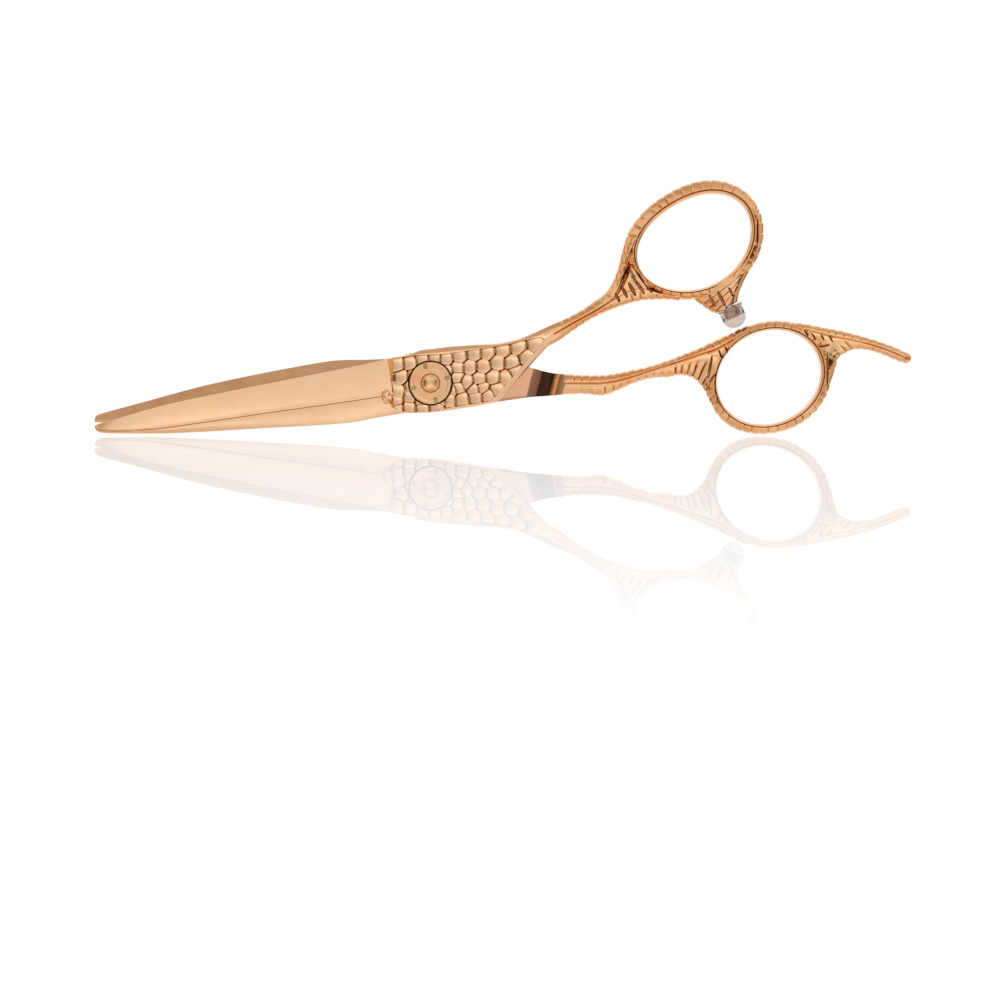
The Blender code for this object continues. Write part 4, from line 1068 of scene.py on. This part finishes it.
finger_fan = strand("finger_fan", [
    (46.5, 3.0, 46.9, 1.1, MIDDLE, 2.2), (49.2, 3.9, 49.4, 1.3, MIDDLE, 2.3),
    (51.9, 4.8, 51.4, 1.6, MIDDLE, 2.35), (54.4, 5.7, 53.1, 1.3, MIDDLE, 2.35),
    (56.9, 6.3, 54.5, 0.5, MIDDLE, 2.3), (59.0, 5.4, 55.7, -0.8, MIDDLE, 2.25),
    (59.9, 3.2, 56.6, -2.3, MIDDLE, 2.2), (60.0, 0.4, 57.5, -4.2, MIDDLE, 2.1),
    (60.2, -2.2, 58.7, -6.0, MIDDLE, 2.0)],
    SHANK_PROFILE, 34, notch=0.42, lump=0.22, pitch=(1.3, 1.7), start=0.6)
tang_upper = strand("tang_upper_strand", [
    (73.0, 10.9, 73.2, 12.4, MIDDLE, 1.9), (76.2, 10.9, 76.6, 12.15, MIDDLE, 1.9),
    (79.4, 10.2, 79.9, 11.5, MIDDLE, 1.85), (82.8, 9.4, 83.2, 10.9, MIDDLE, 1.8),
    (86.0, 8.8, 86.4, 10.15, MIDDLE, 1.7), (89.2, 8.1, 89.5, 9.3, MIDDLE, 1.6),
    (92.0, 7.3, 92.5, 8.35, MIDDLE, 1.5), (94.6, 6.4, 95.2, 7.35, MIDDLE, 1.4),
    (97.2, 5.2, 97.8, 6.1, MIDDLE, 1.2)],
    SHANK_PROFILE, 41, notch=0.22, lump=0.13, pitch=(1.5, 2.0), start=1.0)
tang_lower = strand("tang_lower_strand", [
    (79.6, -2.2, 80.95, -2.6, MIDDLE, 2.2), (80.4, 0.8, 82.3, 0.4, MIDDLE, 2.1),
    (80.7, 4.0, 83.1, 2.9, MIDDLE, 2.0), (80.4, 7.0, 83.6, 4.9, MIDDLE, 1.95),
    (81.6, 9.4, 85.0, 6.1, MIDDLE, 1.9), (85.2, 9.1, 87.2, 6.9, MIDDLE, 1.8),
    (88.6, 8.3, 89.6, 6.75, MIDDLE, 1.65), (91.6, 7.4, 91.8, 6.15, MIDDLE, 1.5),
    (94.4, 6.4, 94.2, 5.2, MIDDLE, 1.4), (97.0, 5.3, 96.7, 4.2, MIDDLE, 1.2)],
    SHANK_PROFILE, 42, notch=0.22, lump=0.12, pitch=(1.5, 2.0), start=6.0)
finger_web = strand("finger_web", [
    (51.8, 5.0, 52.2, 3.2, MIDDLE, 2.0), (55.2, 6.4, 57.0, 3.4, MIDDLE, 2.05),
    (58.0, 7.5, 60.6, 4.6, MIDDLE, 2.05), (60.9, 9.1, 63.2, 6.6, MIDDLE, 2.0),
    (64.2, 10.7, 65.4, 8.4, MIDDLE, 1.8)],
    SMOOTH_PROFILE[1:-1], 3, notch=0.0, lump=0.0)
tang_web = strand("tang_web", [
    (74.0, 10.2, 75.0, 11.6, MIDDLE, 1.7), (77.0, 8.9, 79.2, 10.9, MIDDLE, 1.75),
    (79.2, 6.6, 83.0, 9.8, MIDDLE, 1.7), (80.4, 3.6, 84.4, 7.4, MIDDLE, 1.6)],
    SMOOTH_PROFILE[1:-1], 6, notch=0.0, lump=0.0)
KNOB_PROFILE = [(0, 0.62), (0.22, 0.66), (0.42, 0.84), (0.52, 0.95), (0.64, 0.92), (0.8, 0.76),
                (0.95, 0.54), (1.05, 0.28), (1.09, 0.0)]
tang_knob = turned("tang_knob", KNOB_PROFILE + [(r, -h) for r, h in reversed(KNOB_PROFILE[:-1])],
                   spot(97.58, 5.12, MIDDLE), FORWARDS, 40)
for number, piece in enumerate((finger_fan, finger_web, finger_upper, tang_web, tang_lower)):
    combine(piece, [ring_opening(f"finger_opening_{number}", *FINGER_RING, 0.6)], "DIFFERENCE")
finger_handle = combine(finger_ring, [finger_upper, finger_lower, finger_fan, finger_web,
                                      tang_upper, tang_lower, tang_web, tang_knob])
finger_handle.name = "finger_handle_cast"
# Folds pressed round the fan and into the foot of the tang
FINGER_LEAVES = [(57.2, 3.2, 5.4, 0.62, 80), (59.3, 5.9, 2.0, 0.42, -70),
                 (60.5, 6.9, 1.7, 0.36, -68), (57.6, 0.9, 2.3, 0.5, 55),
                 (76.9, 10.2, 1.6, 0.4, -60), (78.4, 9.6, 1.9, 0.4, -58),
                 (80.2, 9.4, 1.8, 0.42, -60), (82.0, 9.0, 1.7, 0.4, -62),
                 (80.6, 7.6, 2.4, 0.5, 12), (81.25, 2.8, 7.6, 0.5, 90)]
press_leaves(finger_handle, FINGER_LEAVES)
dress(finger_handle, cast_gold, "finger_half", "finger_handle")
paint_leaf_shade(finger_handle, FINGER_LEAVES)


# ---------------------------------------------------------------- tension dial
# A turned ring, coated like the blades, in a pocket of the thumb half.  It is turned against the
# screw's thread; four milled slots take the key, and a step runs round its face.

DIAL_TOP = 7.3
DIAL_BASE = 6.05
DIAL_RADIUS = 4.35
DIAL_BORE = 1.95
SLOT_TURN = math.radians(17)
SLOT_START = 3.38              # the middle of the slots' round ends
SLOT_END = 4.7
SLOT_HALF = 0.425
SLOT_DEPTH = 0.5


def turned_finish(name, tones, smooth, metallic=1.0):
    """A finish with fine turning lines round the pivot."""
    mat, shader, node, link = finish(name)
    shader.inputs["Metallic"].default_value = metallic
    place = node("TexCoord")
    rings = node("TexWave", wave_type="RINGS", rings_direction="Y", in_Scale=2600.0,
                 in_Distortion=1.5, in_Detail=3.0)
    link(place.outputs["Object"], rings.inputs["Vector"])
    colour = mingle(node, link, place, {"in_Scale": 350.0, "in_Detail": 4.0}, tones,
                    (0.35, 0.65))[1]
    link(colour, shader.inputs["Base Color"])
    rough = rescale(node, link, rings.outputs["Fac"], in_To_Min=smooth, in_To_Max=smooth + 0.1)
    link(rough, shader.inputs["Roughness"])
    bump = node("Bump", in_Strength=0.5, in_Distance=0.006 * MM)
    link(rings.outputs["Fac"], bump.inputs["Height"])
    link(bump.outputs["Normal"], shader.inputs["Normal"])
    return mat


turned_gold = turned_finish("rose_gold_turned", (GOLD_RICH, GOLD), 0.18)
dial = turned("tension_dial_turned", [
    (DIAL_BORE, DIAL_BASE), (DIAL_BORE, DIAL_TOP - 0.12), (DIAL_BORE + 0.12, DIAL_TOP),
    (3.42, DIAL_TOP), (3.50, DIAL_TOP - 0.07), (3.58, DIAL_TOP - 0.04), (4.12, DIAL_TOP - 0.06),
    (4.27, DIAL_TOP - 0.14), (DIAL_RADIUS, DIAL_TOP - 0.30), (DIAL_RADIUS, DIAL_BASE),
    (DIAL_BORE, DIAL_BASE)], PIVOT, FORWARDS, 160)
dial_slots = []
for number in range(4):
    outline = [(SLOT_START - SLOT_HALF * math.sin(a), SLOT_HALF * math.cos(a))
               for a in (math.pi * k / 14 for k in range(15))]
    outline += [(SLOT_END, -SLOT_HALF), (SLOT_END, SLOT_HALF)]
    turn = Matrix.Rotation(SLOT_TURN + number * math.pi / 2, 2)
    rows = []
    for height in (DIAL_TOP - SLOT_DEPTH, DIAL_TOP + SLOT_DEPTH):
        rows.append([spot(*(turn @ Vector(point)), height) for point in outline])
    dial_slots.append(skin(f"dial_slot_{number}", rows))
combine(dial, dial_slots, "DIFFERENCE")
dress(dial, turned_gold, "dial", "tension_dial", crisp=25)
# The slots' floors and walls are dull, and painted darker and yellower than the turned face:
# painted shade in the slots
slot_shade_gold = turned_finish("rose_gold_slot_shade", ((0.40, 0.25, 0.09), (0.56, 0.37, 0.15)), 0.3)
dial.data.materials.append(slot_shade_gold)
for face in dial.data.polygons:
    reach = math.hypot(face.center.x, face.center.z) / MM
    turn = (math.degrees(math.atan2(face.center.z, face.center.x) - SLOT_TURN) + 45) % 90 - 45
    low = -face.center.y / MM < DIAL_TOP - 0.2
    if 2.9 < reach < DIAL_RADIUS - 0.02 and abs(turn) < 9 and low:
        face.material_index = 1


# ---------------------------------------------------------------- pivot screw
# Turned in one piece: a thin flat head with two key holes at the back, a journal through both
# halves, a thread for the dial, and a dished end that shows in the middle of the dial.

screw = turned("pivot_screw_turned", [
    (0, 6.62), (0.25, 6.63), (0.8, 6.76), (1.30, 6.98), (1.50, 7.14), (1.58, 7.2), (1.70, 7.2),
    (1.8, 7.1), (1.8, 4.93), (2.15, 4.93), (2.15, 0.8), (4.35, 0.8), (4.35, 0.15), (4.2, 0.0),
    (3.9, 0.0), (3.84, 0.05), (3.7, 0.05), (3.64, 0.0), (0, 0)], PIVOT, FORWARDS, 128)
key_holes = [turned(f"key_hole_{side}", [(0, 0.5), (0.42, 0.42), (0.5, 0.0), (0.55, -0.5),
                                         (0, -0.5)], spot(2.9 * side, 0, 0), FORWARDS, 40)
             for side in (-1, 1)]
combine(screw, key_holes, "DIFFERENCE")
dress(screw, turned_gold, "thumb_half", "pivot_screw", crisp=25)


# ---------------------------------------------------------------- bearing and click pieces
# Inside the pivot: a bronze cage of eight steel balls between two thin races, a sintered bronze
# bush, a white glide washer between the halves, and the dial's notched click ring and spring.

bare_steel = turned_finish("bare_steel_turned", ((0.60, 0.60, 0.61), (0.72, 0.72, 0.73)), 0.2)
ball_steel = turned_finish("ball_steel", ((0.74, 0.74, 0.76), (0.82, 0.82, 0.84)), 0.05)
bronze = turned_finish("sintered_bronze", ((0.50, 0.31, 0.13), (0.64, 0.43, 0.21)), 0.3)
glide_white = turned_finish("glide_white", ((0.80, 0.80, 0.78), (0.88, 0.88, 0.86)), 0.45, 0.0)
INNER_FINISHES = {"bearing_inner_race": bare_steel, "bearing_outer_race": bare_steel,
                  "click_ring": bare_steel, "click_spring": bare_steel, "bearing_cage": bronze,
                  "pivot_bush": bronze, "glide_washer": glide_white}
for number in range(1, 9):
    INNER_FINISHES[f"bearing_ball_{number}"] = ball_steel
for name, mat in INNER_FINISHES.items():
    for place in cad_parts[name].material_slots:
        place.material = mat


# ---------------------------------------------------------------- bumper
# A polished steel stud screwed into the boss, with a soft clear silicone cap pressed over its
# grooved head to quieten the rings when they meet.

CAP_RADIUS = 2.45
stud = turned("bumper_stud_turned", [
    (0, 2.55), (1.35, 2.55), (1.62, 2.50), (1.8, 2.3), (1.8, 2.12), (1.68, 2.04), (1.8, 1.96),
    (1.78, 1.5), (1.64, 1.42), (1.72, 1.34), (1.62, 0.98), (1.5, 0.9), (1.5, 0.25), (1.0, 0.25),
    (1.0, -2.6), (0, -2.6)], boss_place, boss_axis, 72)
polished_steel = rose_gold("polished_steel", 0.06, ((0.60, 0.58, 0.56), (0.70, 0.68, 0.66)))
dress(stud, polished_steel, "thumb_half", "bumper_stud", crisp=28)

dome = [(CAP_RADIUS * math.cos(a), 2.55 + 2.2 * math.sin(a))
        for a in (math.pi / 2 * (14 - k) / 14 for k in range(14))]
dome[0] = (0, dome[0][1])
cap = turned("bumper_cap_moulded", dome + [
    (CAP_RADIUS, 2.55), (2.47, 1.6), (2.47, 1.0), (2.5, 0.82), (2.6, 0.75), (2.6, 0.38),
    (2.54, 0.25), (1.95, 0.25), (1.95, 2.5), (1.75, 2.68), (1.2, 2.72), (0, 2.75)],
    boss_place, boss_axis, 72)
silicone, shader, node, link = finish("clear_silicone")
shader.inputs["Transmission Weight"].default_value = 0.95
shader.inputs["IOR"].default_value = 1.41
haze, milk = mingle(node, link, node("TexCoord"), {"in_Scale": 700.0, "in_Detail": 3.0},
                    ((0.66, 0.53, 0.46), (0.73, 0.60, 0.53)))
link(milk, shader.inputs["Base Color"])
link(rescale(node, link, haze, in_To_Min=0.0, in_To_Max=0.04), shader.inputs["Roughness"])
dress(cap, silicone, "thumb_half", "bumper_cap", crisp=50)
